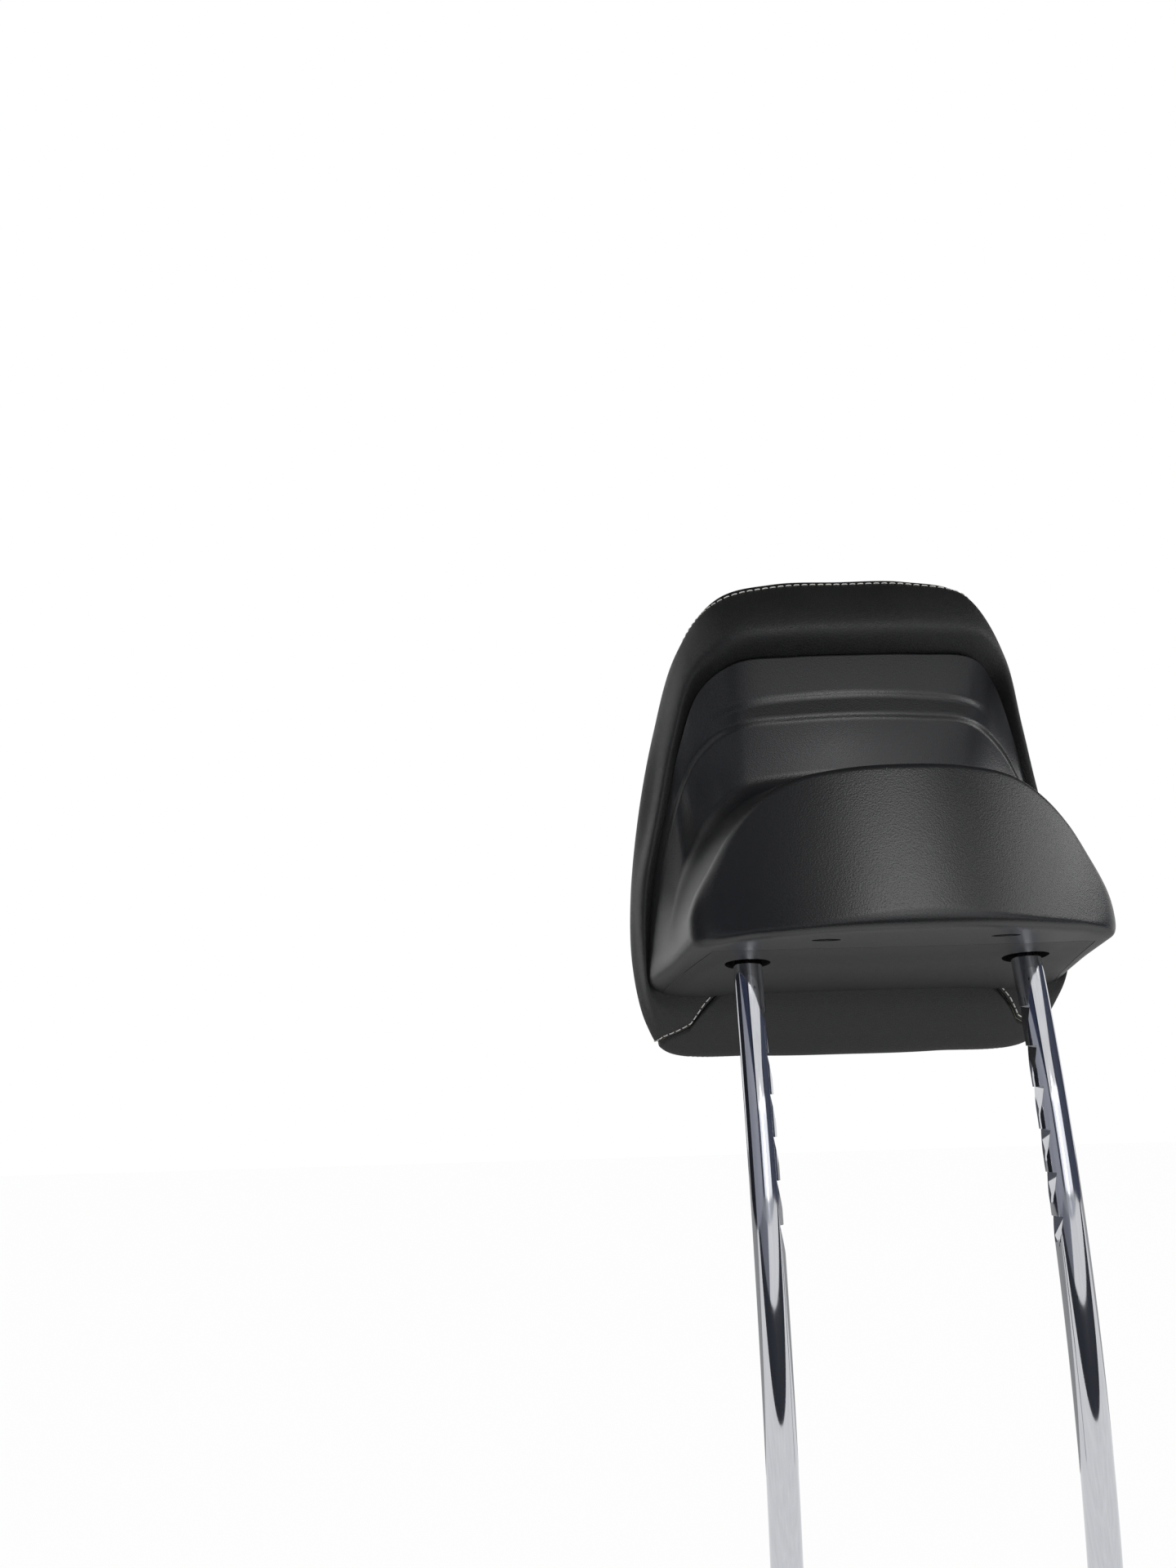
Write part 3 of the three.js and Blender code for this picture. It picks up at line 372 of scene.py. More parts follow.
# %% Set the camera
CAMERA_PLACE = (-0.15092, -0.52763, -0.05599)
CAMERA_RIGHT = (0.99959, -0.00782, -0.02748)
CAMERA_DOWN = (-0.02435, 0.26959, -0.96267)
CAMERA_AHEAD = (0.01494, 0.96294, 0.26929)
PHOTO_HEIGHT = 1920
FOCAL_PIXELS = 1331
SENSOR = 36

camera_data = bpy.data.cameras.new("camera")
camera_data.sensor_fit = "AUTO"
camera_data.sensor_width = SENSOR
camera_data.lens = FOCAL_PIXELS / PHOTO_HEIGHT * SENSOR
camera_data.clip_start = 0.01
camera = bpy.data.objects.new("camera", camera_data)
bpy.context.scene.collection.objects.link(camera)
axes = Matrix((CAMERA_RIGHT, [-c for c in CAMERA_DOWN], [-c for c in CAMERA_AHEAD])).transposed()
camera.matrix_world = Matrix.Translation(CAMERA_PLACE) @ axes.to_4x4()
bpy.context.scene.camera = camera
print("lens in millimetres:", round(camera_data.lens, 2))

# %% [markdown]
# ## Materials as sums
#
# Node materials are easier to read as sums. The class below wraps one socket of a material, so that
# `grain * 0.3 + wear` adds the Math nodes by itself. Every other kind of node comes from one method.


# %% A socket that can be used in sums
class Socket:
    def __init__(self, tree, socket):
        self.tree, self.socket = tree, socket

    def node(self, kind, settings=None, sockets=None, out=0):
        """Add any node; settings are set first, then values or links of its sockets."""
        made = self.tree.nodes.new(kind)
        for key, value in (settings or {}).items():
            setattr(made, key, value)
        for key, value in (sockets or {}).items():
            if isinstance(value, Socket):
                self.tree.links.new(value.socket, made.inputs[key])
            else:
                made.inputs[key].default_value = value
        return Socket(self.tree, made.outputs[out])

    def maths(self, operation, *values):
        return self.node("ShaderNodeMath", {"operation": operation}, dict(enumerate(values)))

    def __add__(self, other):
        return self.maths("ADD", self, other)

    def __sub__(self, other):
        return self.maths("SUBTRACT", self, other)

    def __rsub__(self, other):
        return self.maths("SUBTRACT", other, self)

    def __mul__(self, other):
        return self.maths("MULTIPLY", self, other)

    __radd__, __rmul__ = __add__, __mul__


class Finish(Socket):
    """A new material with one Principled shader, and the object's own coordinates to start from."""

    def __init__(self, name, **constants):
        self.material = bpy.data.materials.new(name)
        self.material.use_nodes = True
        tree = self.material.node_tree
        self.shader = next(n for n in tree.nodes if n.type == "BSDF_PRINCIPLED")
        for key, value in constants.items():
            self.shader.inputs[key.replace("_", " ")].default_value = value
        super().__init__(tree, None)
        self.place = self.node("ShaderNodeTexCoord", out="Object")

    def feed(self, key, value):
        self.tree.links.new(value.socket, self.shader.inputs[key])

    def noise(self, scale, detail=4.0, roughness=0.55):
        return self.node("ShaderNodeTexNoise", None,
                         {"Vector": self.place, "Scale": scale, "Detail": detail, "Roughness": roughness})

    def pebbles(self, scale, feature="F1"):
        return self.node("ShaderNodeTexVoronoi", {"feature": feature}, {"Vector": self.place, "Scale": scale})

    def between(self, value, low, high, start=0.0, end=1.0):
        return self.node("ShaderNodeMapRange", None, {
            "Value": value, "From Min": low, "From Max": high, "To Min": start, "To Max": end})

    def blend(self, mask, first, second):
        return self.node("ShaderNodeMix", {"data_type": "RGBA"}, {0: mask, 6: first, 7: second}, out=2)

    def relief(self, height, depth, strength=1.0):
        self.feed("Normal", self.node("ShaderNodeBump", None, {
            "Height": height, "Distance": depth, "Strength": strength}))


def rgb(r, g, b):
    return (r, g, b, 1.0)


# %% [markdown]
# ## Black moulded plastic
#
# The shell is a black plastic with a fine etched grain, so its shine is broad and soft. Small cells give the
# grain and a wide noise makes the shine a little uneven. A few pale specks stand for light wear. The carrier
# has the same grain and a slightly duller shine.

# %% Shell plastic
shell_plastic = Finish("shell_plastic", IOR=1.5)
etched = shell_plastic.pebbles(1500.0, "SMOOTH_F1")
cloudy = shell_plastic.noise(14.0)
fine = shell_plastic.noise(900.0, 2.0)
plain_black = shell_plastic.blend(
    shell_plastic.between(cloudy, 0.35, 0.65), rgb(0.0105, 0.0109, 0.0122), rgb(0.0135, 0.0138, 0.0148))
dots = shell_plastic.between(shell_plastic.pebbles(70.0), 0.012, 0.03, 1.0, 0.0)
worn_places = shell_plastic.between(shell_plastic.noise(22.0), 0.55, 0.6)
shell_plastic.feed("Base Color", shell_plastic.blend(dots * worn_places, plain_black, rgb(0.3, 0.3, 0.31)))
shell_plastic.feed("Roughness", shell_plastic.between(cloudy, 0.3, 0.7, 0.3, 0.36) + fine * 0.03)
shell_plastic.relief(etched * 0.8 + fine * 0.4, 0.0001, 0.7)

carrier_plastic = Finish("carrier_plastic", IOR=1.5)
carrier_cloud = carrier_plastic.noise(20.0)
carrier_plastic.feed("Base Color", carrier_plastic.blend(
    carrier_plastic.between(carrier_cloud, 0.35, 0.65),
    rgb(0.0115, 0.012, 0.012),
    rgb(0.0145, 0.0148, 0.0148)))
carrier_plastic.feed("Roughness", carrier_plastic.between(carrier_cloud, 0.3, 0.7, 0.4, 0.46))
carrier_plastic.relief(carrier_plastic.pebbles(1500.0, "SMOOTH_F1"), 0.0001, 0.7)
print("plastics:", shell_plastic.material.name, carrier_plastic.material.name)

# %% [markdown]
# ## Leather
#
# The cover is a black leather with fine, even pebbles. Cells of about a millimetre make the pebbles, and thin
# lines between them catch a little light. A wide noise makes some places a little duller than others.

# %% Leather
leather = Finish("black_leather", IOR=1.45)
pebbled = leather.pebbles(760.0, "DISTANCE_TO_EDGE")
patches = leather.noise(30.0)
grease = leather.noise(260.0, 3.0)
leather.feed("Base Color", leather.blend(
    leather.between(patches, 0.35, 0.65), rgb(0.0095, 0.0098, 0.0105), rgb(0.0125, 0.0128, 0.0135)))
leather.feed("Roughness", leather.between(patches, 0.3, 0.7, 0.44, 0.5) + grease * 0.06)
leather.relief(leather.between(pebbled, 0.0, 0.12) + grease * 0.35, 0.00016, 0.6)
print("leather:", leather.material.name)

# %% [markdown]
# ## Chrome, thread, foam and plain steel
#
# Chrome is a metal with a grey colour and almost no roughness. Fine vertical rubbing marks from the seat's
# guides make it a little less than perfect. The thread is a pale, twisted yarn.

# %% The other finishes
chrome = Finish("chromed_steel", Metallic=1.0)
rubbing = chrome.node("ShaderNodeTexNoise", None, {
    "Vector": chrome.node("ShaderNodeMapping", None, {"Vector": chrome.place, "Scale": (900.0, 900.0, 9.0)}),
    "Scale": 1.0, "Detail": 3.0})
chrome.feed("Base Color", chrome.blend(
    chrome.between(rubbing, 0.3, 0.7), rgb(0.52, 0.53, 0.56), rgb(0.58, 0.59, 0.62)))
chrome.feed("Roughness", chrome.between(rubbing, 0.3, 0.8, 0.05, 0.08))

thread = Finish("stitch_thread", Roughness=0.8)
twist = thread.noise(2600.0, 2.0)
# painted shade: the thread is coloured darker where the twist's relief dips, as shade in the grooves of the
# yarn
thread.feed("Base Color", thread.blend(
    thread.between(twist, 0.3, 0.7), rgb(0.52, 0.5, 0.46), rgb(0.78, 0.76, 0.71)))
thread.relief(twist, 0.0001)

foam = Finish("cushion_foam", Roughness=0.95)
pores = foam.pebbles(1100.0)
# painted shade: the foam is coloured darker towards each pore's centre, where the relief dips, as shade in
# the pores
foam.feed("Base Color", foam.blend(
    foam.between(pores, 0.1, 0.6), rgb(0.45, 0.4, 0.27), rgb(0.68, 0.62, 0.46)))
foam.relief(pores, 0.0004)

steel = Finish("clamp_steel", Metallic=1.0)
rolled = steel.noise(120.0)
steel.feed("Base Color", steel.blend(
    steel.between(rolled, 0.3, 0.7), rgb(0.3, 0.3, 0.31), rgb(0.42, 0.42, 0.43)))
steel.feed("Roughness", steel.between(rolled, 0.3, 0.7, 0.32, 0.5))

strip_plastic = Finish("strip_plastic", Roughness=0.6)
drawn = strip_plastic.noise(300.0)
strip_plastic.feed("Base Color", strip_plastic.blend(
    strip_plastic.between(drawn, 0.3, 0.7), rgb(0.03, 0.03, 0.032), rgb(0.05, 0.05, 0.052)))


def dress(piece, finish, slot, *nodes):
    """Give a piece its finish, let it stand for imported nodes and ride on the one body."""
    piece.data.materials.clear()
    piece.data.materials.append(finish.material)
    if nodes:
        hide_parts(*nodes)
    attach(piece, "root")


print("materials:", len(bpy.data.materials))

# %% [markdown]
# ## Rear shell and underside wall
#
# The shell and the underside wall of the carrier are one smooth form with a fine parting line between them.
# So we make one skin of even thickness twice, and cut it along the same line: the shell keeps what lies
# outside the line, the carrier what lies inside it.

# %% Cut the shell and the carrier's wall from one skin
PARTING_Y = -28.0
PLATE_HALF_WIDTH = 94.5
PLATE_FLARE = 0.19
POST_SPACING = 135.7
POST_DIAMETER = 14.0
POST_Y = 3.0
POST_EXPOSED = 265.0
POST_BOW_RADIUS = 832.0
POST_STRAIGHT_Z = -120.0
HOLE_DIAMETER = 22.0
LATCH_X, LATCH_Y = 40.0, -47.0
LATCH_SLOT_LENGTH, LATCH_SLOT_WIDTH = 13.0, 5.0
LEG_SLOPE = -POST_STRAIGHT_Z / POST_BOW_RADIUS


def post_y(z):
    held = min(z, 0.0)
    arc = lambda h: (h - POST_STRAIGHT_Z) ** 2 / (2 * POST_BOW_RADIUS)
    return POST_Y + arc(held) - arc(0.0) + LEG_SLOPE * max(z, 0.0)

INNER_STEP = 4
EDGE_ROUNDING = ((0.5, 0.35), (1.25, 0.45), (2.0, 0.35))
ZONE_FRONT = 80
ZONE_LOW, ZONE_HIGH = -34, 10
SLOT_LOW, SLOT_HIGH = -8, 12
SLOT_SIDES = 40
HOLE_REACH = 20


def shell_skin(name):
    inner = shell_surface - shell_normals * SHELL_WALL
    edge = [shell_surface[-1] - shell_normals[-1] * d + unit(shell_surface[-1] - shell_surface[-2]) * s
            for d, s in EDGE_ROUNDING]
    return skin(name, np.concatenate([shell_surface, edge]), inner[::INNER_STEP])


def plate_zone(margin):
    near = PLATE_HALF_WIDTH + PLATE_FLARE * (PARTING_Y - UNDERSIDE_Y) + margin
    far = PLATE_HALF_WIDTH + PLATE_FLARE * (ZONE_FRONT - UNDERSIDE_Y) + margin
    back = PARTING_Y - margin
    outline = [(-near, back), (near, back), (far, ZONE_FRONT), (-far, ZONE_FRONT)]
    return prism("plate_zone", outline, ZONE_LOW, ZONE_HIGH)


def slot_tool(x, y):
    half_length, half_width = LATCH_SLOT_LENGTH / 2, LATCH_SLOT_WIDTH / 2
    angles = np.linspace(0, 2 * np.pi, SLOT_SIDES, endpoint=False)
    outline = [(x + half_length * math.cos(a), y + half_width * math.sin(a)) for a in angles]
    return prism("slot_tool", outline, SLOT_LOW, SLOT_HIGH)


rear_shell = shell_skin("rear_shell_moulding")
cut(rear_shell, plate_zone(GAP))
for side in (1, -1):
    cut(rear_shell, slot_tool(side * LATCH_X, LATCH_Y))
shade(rear_shell)
dress(rear_shell, shell_plastic, "shell_plastic", "rear_shell")

carrier = shell_skin("front_carrier_moulding")
cut(carrier, plate_zone(0.0), "INTERSECT")
for side in (1, -1):
    place = np.array([side * POST_SPACING / 2, post_y(0.0), 0.0])
    up = unit(np.array([0.0, LEG_SLOPE, 1.0]))
    cut(carrier, rod("hole_tool", place - HOLE_REACH * up, place + HOLE_REACH * up, HOLE_DIAMETER / 2))
print("shell faces:", len(rear_shell.data.polygons), "carrier wall faces:", len(carrier.data.polygons))

# %% [markdown]
# The carrier's inner side is a plain moulding that is hardly seen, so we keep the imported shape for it. We
# copy that mesh, take away its own coarse underside wall, and join the fine wall to it.


# %% Join the carrier's inner side
def node_copy(node):
    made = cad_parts[node].copy()
    made.data = made.data.copy()
    made.parent = None
    for key in list(made.keys()):
        del made[key]
    bpy.context.scene.collection.objects.link(made)
    return made


def join(piece, other):
    """Join another object's mesh to a piece."""
    work = bmesh.new()
    work.from_mesh(piece.data)
    work.from_mesh(other.data)
    work.to_mesh(piece.data)
    work.free()
    bpy.data.objects.remove(other)


WALL_BAND = 2.75
inside = node_copy("front_carrier")
surface_tree = KDTree(shell_surface.size // 3)
for i, point in enumerate(shell_surface.reshape(-1, 3)):
    surface_tree.insert(point * MM, i)
surface_tree.balance()
flat_normals = shell_normals.reshape(-1, 3)
flat_surface = shell_surface.reshape(-1, 3) * MM


def depth_below(point):
    i = surface_tree.find(point)[1]
    return -float(np.dot(np.array(point) - flat_surface[i], flat_normals[i])) / MM


work = bmesh.new()
work.from_mesh(inside.data)
depths = {v: depth_below(v.co) for v in work.verts}
wall_faces = [f for f in work.faces if all(depths[v] < WALL_BAND for v in f.verts)]
bmesh.ops.delete(work, geom=wall_faces, context="FACES")
work.to_mesh(inside.data)
work.free()
join(carrier, inside)
shade(carrier)
dress(carrier, carrier_plastic, "carrier_plastic", "front_carrier")
print("coarse wall faces taken away:", len(wall_faces))

# %% [markdown]
# ## The leather cover
#
# The cushion's profile starts in a tuck behind the shell's edge, comes out at a lip, swells to a crest, and
# runs over the shoulder and the widest line to the rim and the middle of the face. Two panels of leather
# cover it: a band over the top and the sides, and a front panel that wraps under the bottom. Where they are
# sewn together the leather dips into a seam, so we lower the surface near the seam line.

# %% Cushion surface
BEFORE_EDGE = 0.5
LIP_RISE = 0.4
LIP_OUT = 1.0
edge_out = shell_normals[-1]
edge_along = unit(shell_surface[-1] - shell_surface[-2])
at_edge = lambda depth, past: shell_surface[-1] - edge_out * depth + edge_along * past
cushion_loops = [loop([s[k] for s in CUSHION_STATIONS]) for k in range(4)]
ring = cushion_loops[3] + (FACE_CENTRE - cushion_loops[3]) * FACE_RING + [0, FACE_RING_BULGE / 2, 0]
tuck_keys = [at_edge(TUCK_DEPTH, -TUCK),
             at_edge(TUCK_DEPTH, -BEFORE_EDGE),
             at_edge(SHELL_WALL - LIP_RISE, LIP_OUT)]
cushion_keys = np.array([*tuck_keys, *cushion_loops, ring, np.tile(FACE_CENTRE, (COLUMNS, 1))])


def seam_places():
    """Place of the seam on every column's profile."""
    last = len(SEAM_PLACES) - 1
    curve = value_at(SEAM_PLACES, np.minimum(FOLDED, last))
    corner = np.interp(FOLDED, [c[0] for c in SEAM_CORNER], [c[1] for c in SEAM_CORNER])
    return np.where(FOLDED <= last, curve, corner)


seam = seam_places()
BAND_ROWS = 72
FRONT_ROWS = 90
SEAM_WIDTH = 1.5
SEAM_SINK = 1.6
SEAM_GAP = 0.02
SINK_START = 0.4
SAME_POINT = 1e-6
LINING_STEP = 3


def leather_grid(low, high, rows):
    """Grid of points between two places on the profile."""
    places = low + (high - low) * np.linspace(0, 1, rows)[:, None]
    return places, through(cushion_keys, places)


def outward(grid):
    """Normals of a leather grid; where it ends in a single point, that point gets one normal."""
    normal = grid_normals(grid)
    ends_in_point = np.ptp(grid[-1], axis=0).max() < SAME_POINT
    normal[-1] = unit(normal[-2].mean(axis=0)) if ends_in_point else normal[-2]
    return normal


seam_points = through(cushion_keys, seam[None, :])[0]
seam_tree = KDTree(COLUMNS)
for i, point in enumerate(seam_points):
    seam_tree.insert(point, i)
seam_tree.balance()


def seam_distance(grid):
    flat = grid.reshape(-1, 3)
    found = np.array([seam_tree.find(p)[2] for p in flat])
    return found.reshape(grid.shape[:2])


def leather_piece(name, low, high, rows, columns=None):
    """Leather between two places on the profile; without columns it goes all the way round."""
    places, grid = leather_grid(low, high, rows)
    normal = outward(grid)
    groove = SEAM_SINK * np.exp(-(seam_distance(grid) / SEAM_WIDTH) ** 2)
    sink = groove * smooth(LIP, LIP + SINK_START, places)
    outer = grid - normal * sink[..., None]
    inner = grid - normal * (sink + LEATHER)[..., None]
    wrap = columns is None
    if not wrap:
        outer, inner = outer[:, columns], inner[:, columns]
    return skin(name, outer, np.concatenate([inner[:-1:LINING_STEP], inner[-1:]]), wrap)


front_low = np.where(seam > SEAM_GAP, seam + SEAM_GAP, 0.0)
front_panel = leather_piece("cover_front_leather", front_low, np.full(COLUMNS, FACE_END), FRONT_ROWS)
dress(front_panel, leather, "black_leather", "cover_front_panel")

last_column = max(j for j in range(COLUMNS // 2) if seam[j] > SEAM_GAP)
band_columns = [(j + COLUMNS) % COLUMNS for j in range(-last_column, last_column + 1)]
band_high = np.maximum(seam - SEAM_GAP, 0)
band = leather_piece("cover_band_leather", np.zeros(COLUMNS), band_high, BAND_ROWS, band_columns)
dress(band, leather, "black_leather", "cover_band")
print("leather faces:", len(front_panel.data.polygons) + len(band.data.polygons))

# %% [markdown]
# ## Decorative stitches
#
# A row of pale stitches runs along the seam, a few millimetres away from it on the band. Each stitch is a
# short piece of thread that comes out of the leather and goes back into it, so we make each one a low arch.

# %% Sew the stitches
STITCH_LENGTH = 3.2
STITCH_PITCH = 4.4
STITCH_RADIUS = 0.32
STITCH_OFFSET = 4.6
STITCH_ARCH = [(0, -0.35), (0.15, 0.12), (0.5, 0.2), (0.85, 0.12), (1, -0.35)]
STITCH_BEVEL = 2
ROW_START = 0.1
PROBE = 0.1
NEXT_POINT = 0.02


def on_profile(places):
    """Points of every column at a few places on the profile."""
    return through(cushion_keys, np.array([[place] * COLUMNS for place in places]))


def stitch_line():
    """Points on the band beside the seam, from one lower corner over the top to the other."""
    line = []
    for j in band_columns:
        if seam[j] < LIP + ROW_START:
            continue
        at_seam, before_seam = on_profile([seam[j], seam[j] - PROBE])[:, j]
        speed = np.linalg.norm(at_seam - before_seam) / PROBE
        place = seam[j] - STITCH_OFFSET / speed
        near = on_profile([place, place + NEXT_POINT])
        left, right = near[0, (j - 1) % COLUMNS], near[0, (j + 1) % COLUMNS]
        normal = unit(np.cross(right - left, near[1, j] - near[0, j]))
        line.append((near[0, j], normal))
    return line


line = stitch_line()
points = np.array([p for p, n in line])
away = np.array([n for p, n in line])
travel = np.concatenate([[0], np.cumsum(np.linalg.norm(np.diff(points, axis=0), axis=1))])
at = lambda s: (np.array([np.interp(s, travel, points[:, k]) for k in range(3)]),
                unit(np.array([np.interp(s, travel, away[:, k]) for k in range(3)])))

stitch_curve = bpy.data.curves.new("seam_stitches", "CURVE")
stitch_curve.dimensions = "3D"
stitch_curve.bevel_depth = STITCH_RADIUS * MM
stitch_curve.bevel_resolution = STITCH_BEVEL
stitch_curve.use_fill_caps = True
count = int(travel[-1] / STITCH_PITCH)
for k in range(count):
    start = (k + 0.5) * STITCH_PITCH
    spline = stitch_curve.splines.new("POLY")
    spline.points.add(len(STITCH_ARCH) - 1)
    for i, (share, lift) in enumerate(STITCH_ARCH):
        point, normal = at(start + share * STITCH_LENGTH)
        spline.points[i].co = (*((point + normal * lift) * MM), 1)
seam_stitches = bpy.data.objects.new("seam_stitches", stitch_curve)
bpy.context.scene.collection.objects.link(seam_stitches)
dress(seam_stitches, thread, "black_leather")
print("stitches:", count, "row length in millimetres:", round(travel[-1]))

# %% [markdown]
# ## Foam under the leather
#
# The foam is closed in by the leather, so it is a plain smooth form that keeps just below the cover.

# %% Foam pad
STRIP_WALL = 2.0
FOAM_DEPTH = LEATHER + 2 * GAP
RIM_DEPTH = TUCK_DEPTH + LEATHER + STRIP_WALL + 2 * GAP
RIM_BACK = 2
FOAM_ROWS = 30
WALL_ROWS = 24
CARRIER_WALL = 3.0
CARRIER_CENTRE = np.array([0.0, 52.0, 70.0])
WALL_BULGE = 14.0
foam_places = np.linspace(ROLL, FACE_END, FOAM_ROWS)[:, None] * np.ones(COLUMNS)
foam_outer = through(cushion_keys, foam_places)
foam_outer = foam_outer - outward(foam_outer) * FOAM_DEPTH
rim = at_edge(RIM_DEPTH, -RIM_BACK)
shares = np.linspace(0, 1, WALL_ROWS)[:, None, None]
wall = rim + (CARRIER_CENTRE - rim) * shares + np.array([0, WALL_BULGE, 0]) * shares * (1 - shares)
foam_inner = wall + [0, CARRIER_WALL + 2 * GAP, 0]
foam_pad = skin("foam_pad_moulded", foam_outer, foam_inner)
dress(foam_pad, foam, "cushion_foam", "foam_pad")
print("foam faces:", len(foam_pad.data.polygons))

# %% [markdown]
# ## The chromed bow
#
# Both posts and the cross bar are one bent steel bar. We sweep a circle along its centre line and cut the
# saw-tooth notches into the inner side of each post with small wedges.

# %% Sweep the bar and cut the notches
BOW_TOP_Z = 72.0
BOW_BEND_RADIUS = 30.0
NOTCH_COUNT = 6
NOTCH_FIRST_Z = -23.8
NOTCH_PITCH = 18.65
NOTCH_DEPTH = 2.4
NOTCH_RAMP = 13.0
POST_CHAMFER = 2.5
BAR_SIDES = 64
BAR_STEPS = 150
RING_GAP = 0.5
TOOL_CLEAR = 1
BAR_ANGLE = 30


def bow_point(run):
    """Point on the centre line at a distance from the right post's lower end; the left half mirrors it."""
    leg = POST_EXPOSED + BOW_TOP_Z - BOW_BEND_RADIUS
    turn = math.pi / 2 * BOW_BEND_RADIUS
    if run <= leg:
        z = -POST_EXPOSED + run
        return np.array([POST_SPACING / 2, post_y(z), z])
    angle = min((run - leg) / BOW_BEND_RADIUS, math.pi / 2)
    z = BOW_TOP_Z - BOW_BEND_RADIUS * (1 - math.sin(angle))
    straight = max(run - leg - turn, 0.0)
    x = POST_SPACING / 2 - BOW_BEND_RADIUS + BOW_BEND_RADIUS * math.cos(angle) - straight
    return np.array([x, post_y(z), z])


half_run = (POST_EXPOSED + BOW_TOP_Z - BOW_BEND_RADIUS + math.pi / 2 * BOW_BEND_RADIUS
            + POST_SPACING / 2 - BOW_BEND_RADIUS)
half_line = [bow_point(r) for r in np.linspace(0, half_run, BAR_STEPS)]
centre_line = np.array(half_line + [p * [-1, 1, 1] for p in half_line[-2::-1]])
ahead = unit(np.gradient(centre_line, axis=0))
side_way = unit(np.cross(ahead, [0.0, 1.0, 0.0]))
third = np.cross(side_way, ahead)
radius = POST_DIAMETER / 2
angles = np.linspace(0, 2 * np.pi, BAR_SIDES, endpoint=False)
rings = []
for end, order in ((0, 1), (-1, -1)):
    chamfer = []
    for inset, size in ((0.0, 0.0), (0.0, radius - POST_CHAMFER), (POST_CHAMFER, radius)):
        centre = centre_line[end] + ahead[end] * inset * order
        chamfer.append([centre + size * (math.cos(a) * side_way[end] + math.sin(a) * third[end])
                        for a in angles])
    rings.append(chamfer[::order])
run = np.concatenate([[0], np.cumsum(np.linalg.norm(np.diff(centre_line, axis=0), axis=1))])
body = [[centre_line[i] + radius * (math.cos(a) * side_way[i] + math.sin(a) * third[i]) for a in angles]
        for i in range(len(centre_line))
        if POST_CHAMFER + RING_GAP < run[i] < run[-1] - POST_CHAMFER - RING_GAP]
bar = np.array(rings[0] + body + rings[1])
n, sides = bar.shape[:2]
bar_faces = []
for i in range(n - 1):
    for j in range(sides):
        k = (j + 1) % sides
        bar_faces.append((i * sides + j, i * sides + k, (i + 1) * sides + k, (i + 1) * sides + j))
post_bow = new_piece("post_bow_chromed", bar.reshape(-1, 3) * MM, bar_faces, BAR_ANGLE)


def notch_tool(side, z):
    """Wedge that cuts one saw-tooth notch into the inner side of a post."""
    outer = POST_SPACING / 2 - radius - TOOL_CLEAR
    skin_x, low = outer + TOOL_CLEAR, z - NOTCH_RAMP
    outline = [(outer, z), (skin_x + NOTCH_DEPTH, z), (skin_x, low), (outer, low)]
    y = post_y(z)
    verts = [(side * x * MM, (y + d) * MM, h * MM)
             for d in (-POST_DIAMETER, POST_DIAMETER) for x, h in outline]
    faces = [(0, 1, 2, 3), (7, 6, 5, 4)] + [(i, i + 4, (i + 1) % 4 + 4, (i + 1) % 4) for i in range(4)]
    return new_piece("notch_tool", verts, faces)


for side in (1, -1):
    for k in range(NOTCH_COUNT):
        cut(post_bow, notch_tool(side, NOTCH_FIRST_Z - k * NOTCH_PITCH))
shade(post_bow, BAR_ANGLE)
dress(post_bow, chrome, "chromed_steel", "post_bow")
print("bar faces:", len(post_bow.data.polygons))

# %% [markdown]
# ## Small parts inside
#
# The saddle clamps, their screws, the spring clips and the strips along the leather's edge keep their packed
# shape. They only need their finishes.

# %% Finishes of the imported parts
inner_finishes = {"clamp": steel, "shell_clip": steel, "edge_strip": strip_plastic}
finished = []
for name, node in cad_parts.items():
    for start, finish in inner_finishes.items():
        if name.startswith(start):
            finished.append(name)
            for place in node.material_slots:
                place.material = finish.material
print("packed parts with a finish:", len(finished))

# %% [markdown]
# ## Floor and white background
#
# The object stands out against plain white, as in the photograph: rays that reach the floor or the world
# straight from the camera, through glass or off a shiny surface see white. All other rays see a pale floor,
# and a world that is a little dimmer.

# %% Floor and world
FLOOR_Z = -265.5
FLOOR_SIZE = 6.0
FLOOR_WHITE = 0.97
ROOM_LIGHT = 0.6
bpy.context.scene.view_settings.view_transform = "Standard"


def straight_rays(start):
    """1 for rays from the camera, through glass or off a shiny surface, 0 for all others."""
    path = start.node("ShaderNodeLightPath").socket.node
    camera_ray, glossy, through_glass = (
        Socket(start.tree, path.outputs[f"Is {kind} Ray"]) for kind in ("Camera", "Glossy", "Transmission"))
    return start.maths("MAXIMUM", camera_ray, start.maths("MAXIMUM", glossy, through_glass))


floor_finish = Finish("studio_floor", Roughness=0.9)
floor_grain = floor_finish.noise(3.0)
floor_finish.feed("Base Color", floor_finish.blend(floor_grain, rgb(0.8, 0.8, 0.8), rgb(0.82, 0.82, 0.82)))
white = floor_finish.node("ShaderNodeEmission", None, {"Color": rgb(1, 1, 1), "Strength": 1.0})
mixed = floor_finish.node("ShaderNodeMixShader", None, {
    0: straight_rays(floor_finish) * FLOOR_WHITE,
    1: Socket(floor_finish.tree, floor_finish.shader.outputs[0]),
    2: white})
surface = next(n for n in floor_finish.tree.nodes if n.type == "OUTPUT_MATERIAL")
floor_finish.tree.links.new(mixed.socket, surface.inputs["Surface"])
bpy.ops.mesh.primitive_plane_add(size=FLOOR_SIZE, location=(0, 0, FLOOR_Z * MM))
floor = bpy.context.object
floor.name = "studio_floor"
floor.data.materials.append(floor_finish.material)

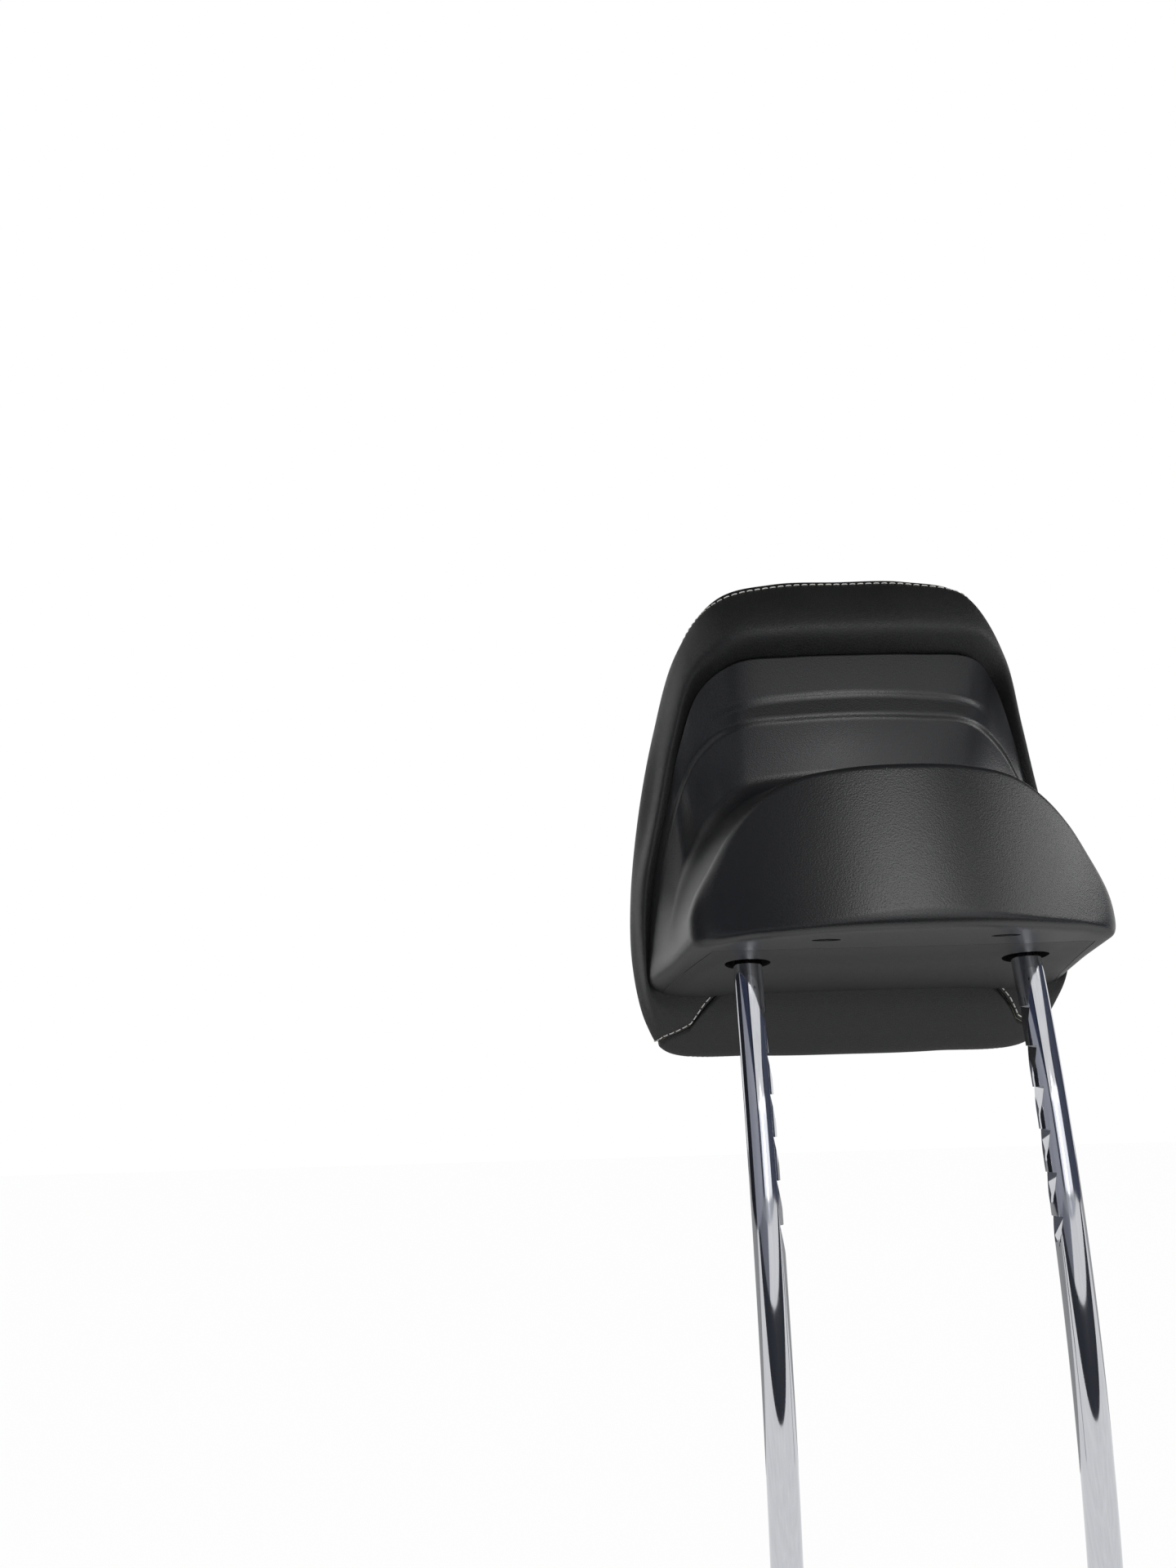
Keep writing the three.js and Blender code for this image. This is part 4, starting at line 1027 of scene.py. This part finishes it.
world = bpy.data.worlds.new("studio")
bpy.context.scene.world = world
world.use_nodes = True
sky = Socket(world.node_tree, None)
background = next(n for n in world.node_tree.nodes if n.type == "BACKGROUND")
background.inputs["Color"].default_value = rgb(1, 1, 1)
strength = straight_rays(sky) * (1.0 - ROOM_LIGHT) + ROOM_LIGHT
world.node_tree.links.new(strength.socket, background.inputs["Strength"])
print("floor at", FLOOR_Z, "world:", world.name)

# %% [markdown]
# ## Lamps
#
# Three soft lamps stand behind the camera and one on the right. The two low ones, like a wide and a narrow
# window, make the bright streaks down the posts. The high one and the right one light the creases and the
# hump from above, so the left side stays darker.

# %% Four soft lamps
LAMP_TARGET = (0, 0, 0.06)


def soft_lamp(name, place, size, watts):
    """Rectangular lamp that faces the headrest."""
    lamp = bpy.data.lights.new(name, "AREA")
    lamp.shape = "RECTANGLE"
    lamp.size, lamp.size_y = size
    lamp.energy = watts
    made = bpy.data.objects.new(name, lamp)
    made.location = place
    made.rotation_euler = (Vector(LAMP_TARGET) - Vector(place)).to_track_quat("-Z", "Y").to_euler()
    bpy.context.scene.collection.objects.link(made)


soft_lamp("wide_window_lamp", (0.5, -2.1, -0.02), (2.2, 0.45), 3.7)
soft_lamp("narrow_window_lamp", (0.25, -2.0, 0.0), (0.35, 0.45), 1.5)
soft_lamp("high_lamp", (0.3, -2.0, 1.0), (1.4, 0.5), 10)
soft_lamp("right_lamp", (2.1, -0.6, 0.9), (2.0, 0.4), 8)
print("lamps:", len(bpy.data.lights))

# %% [markdown]
# ## Cards around the set
#
# The shine on dark plastic and on chrome is a picture of the room around them. Matt cards make that room: a
# dim floor, dim walls, a dark side on the left and a dark ceiling. Between the walls and the ceiling a bright
# band stays open, and so do two bright patches of floor. Only reflected rays see the cards, so the background
# stays white.

# %% Room of cards
CARD_LOW = FLOOR_Z * MM + 0.002
WALL_TOP, RIGHT_TOP, SHELF_TOP, LEFT_FAR_TOP, LEFT_TOP = 0.2, 0.5, 0.3, 0.75, 1.3
WALL_Y, RIGHT_X, FRONT_Y, LEFT_X = -2.6, 1.8, 2.2, -1.3
SHELF_X = LEFT_X + 0.01
CEILING_Y, CEILING_Z = -2.2, 1.4


def upright(x_from, y_from, x_to, y_to, top):
    """Corners of a standing card."""
    return [(x_from, y_from, CARD_LOW), (x_to, y_to, CARD_LOW), (x_to, y_to, top), (x_from, y_from, top)]


def lying(x_from, y_from, x_to, y_to, height):
    """Corners of a lying card."""
    return [(x_from, y_from, height), (x_to, y_from, height), (x_to, y_to, height), (x_from, y_to, height)]


def room_card(name, corners, level, blue):
    """Matt card of a grey level, more or less bluish, that only shiny surfaces see."""
    finish = Finish(name, Roughness=0.9, Specular_IOR_Level=0.2)
    weave = finish.noise(60.0)
    tint = [level * (1 - blue), level * (1 - 0.6 * blue), level * (1 + blue)]
    darker, lighter = rgb(*(0.9 * c for c in tint)), rgb(*(1.1 * c for c in tint))
    finish.feed("Base Color", finish.blend(weave, darker, lighter))
    card = new_piece(name, corners, [(0, 1, 2, 3)])
    card.data.materials.append(finish.material)
    for kind in ("camera", "diffuse", "shadow", "transmission", "volume_scatter"):
        setattr(card, f"visible_{kind}", False)


room_card("back_wall_card", upright(-1.0, WALL_Y, 3.5, WALL_Y, WALL_TOP), 0.5, 0.1)
room_card("back_corner_card", upright(-2.5, WALL_Y, -0.95, WALL_Y, LEFT_TOP), 0.04, 0.4)
room_card("right_wall_card", upright(RIGHT_X, WALL_Y, RIGHT_X, 0.8, RIGHT_TOP), 0.13, 0.25)
room_card("front_wall_card", upright(-1.0, FRONT_Y, 0.9, FRONT_Y, WALL_TOP), 0.18, 0.1)
room_card("left_wall_card", upright(LEFT_X, -2.8, LEFT_X, -0.3, LEFT_TOP), 0.07, 0.4)
room_card("left_far_card", upright(LEFT_X, -0.3, LEFT_X, 1.25, LEFT_FAR_TOP), 0.03, 0.2)
room_card("left_shelf_card", upright(SHELF_X, -2.6, SHELF_X, 0.0, SHELF_TOP), 0.5, 0.08)
room_card("near_floor_card", lying(-3, -0.45, 3, -0.15, CARD_LOW), 0.05, 0.2)
room_card("left_floor_card", lying(-3, -1.4, -0.3, -0.45, CARD_LOW), 0.3, 0.1)
room_card("back_floor_card", lying(-3, -4, 3, -1.4, CARD_LOW), 0.45, 0.05)
room_card("far_floor_card", lying(-3, 0.15, 3, 3, CARD_LOW), 0.6, 0.0)
room_card("ceiling_card", lying(LEFT_X, CEILING_Y, 3, 2, CEILING_Z), 0.03, 0.0)
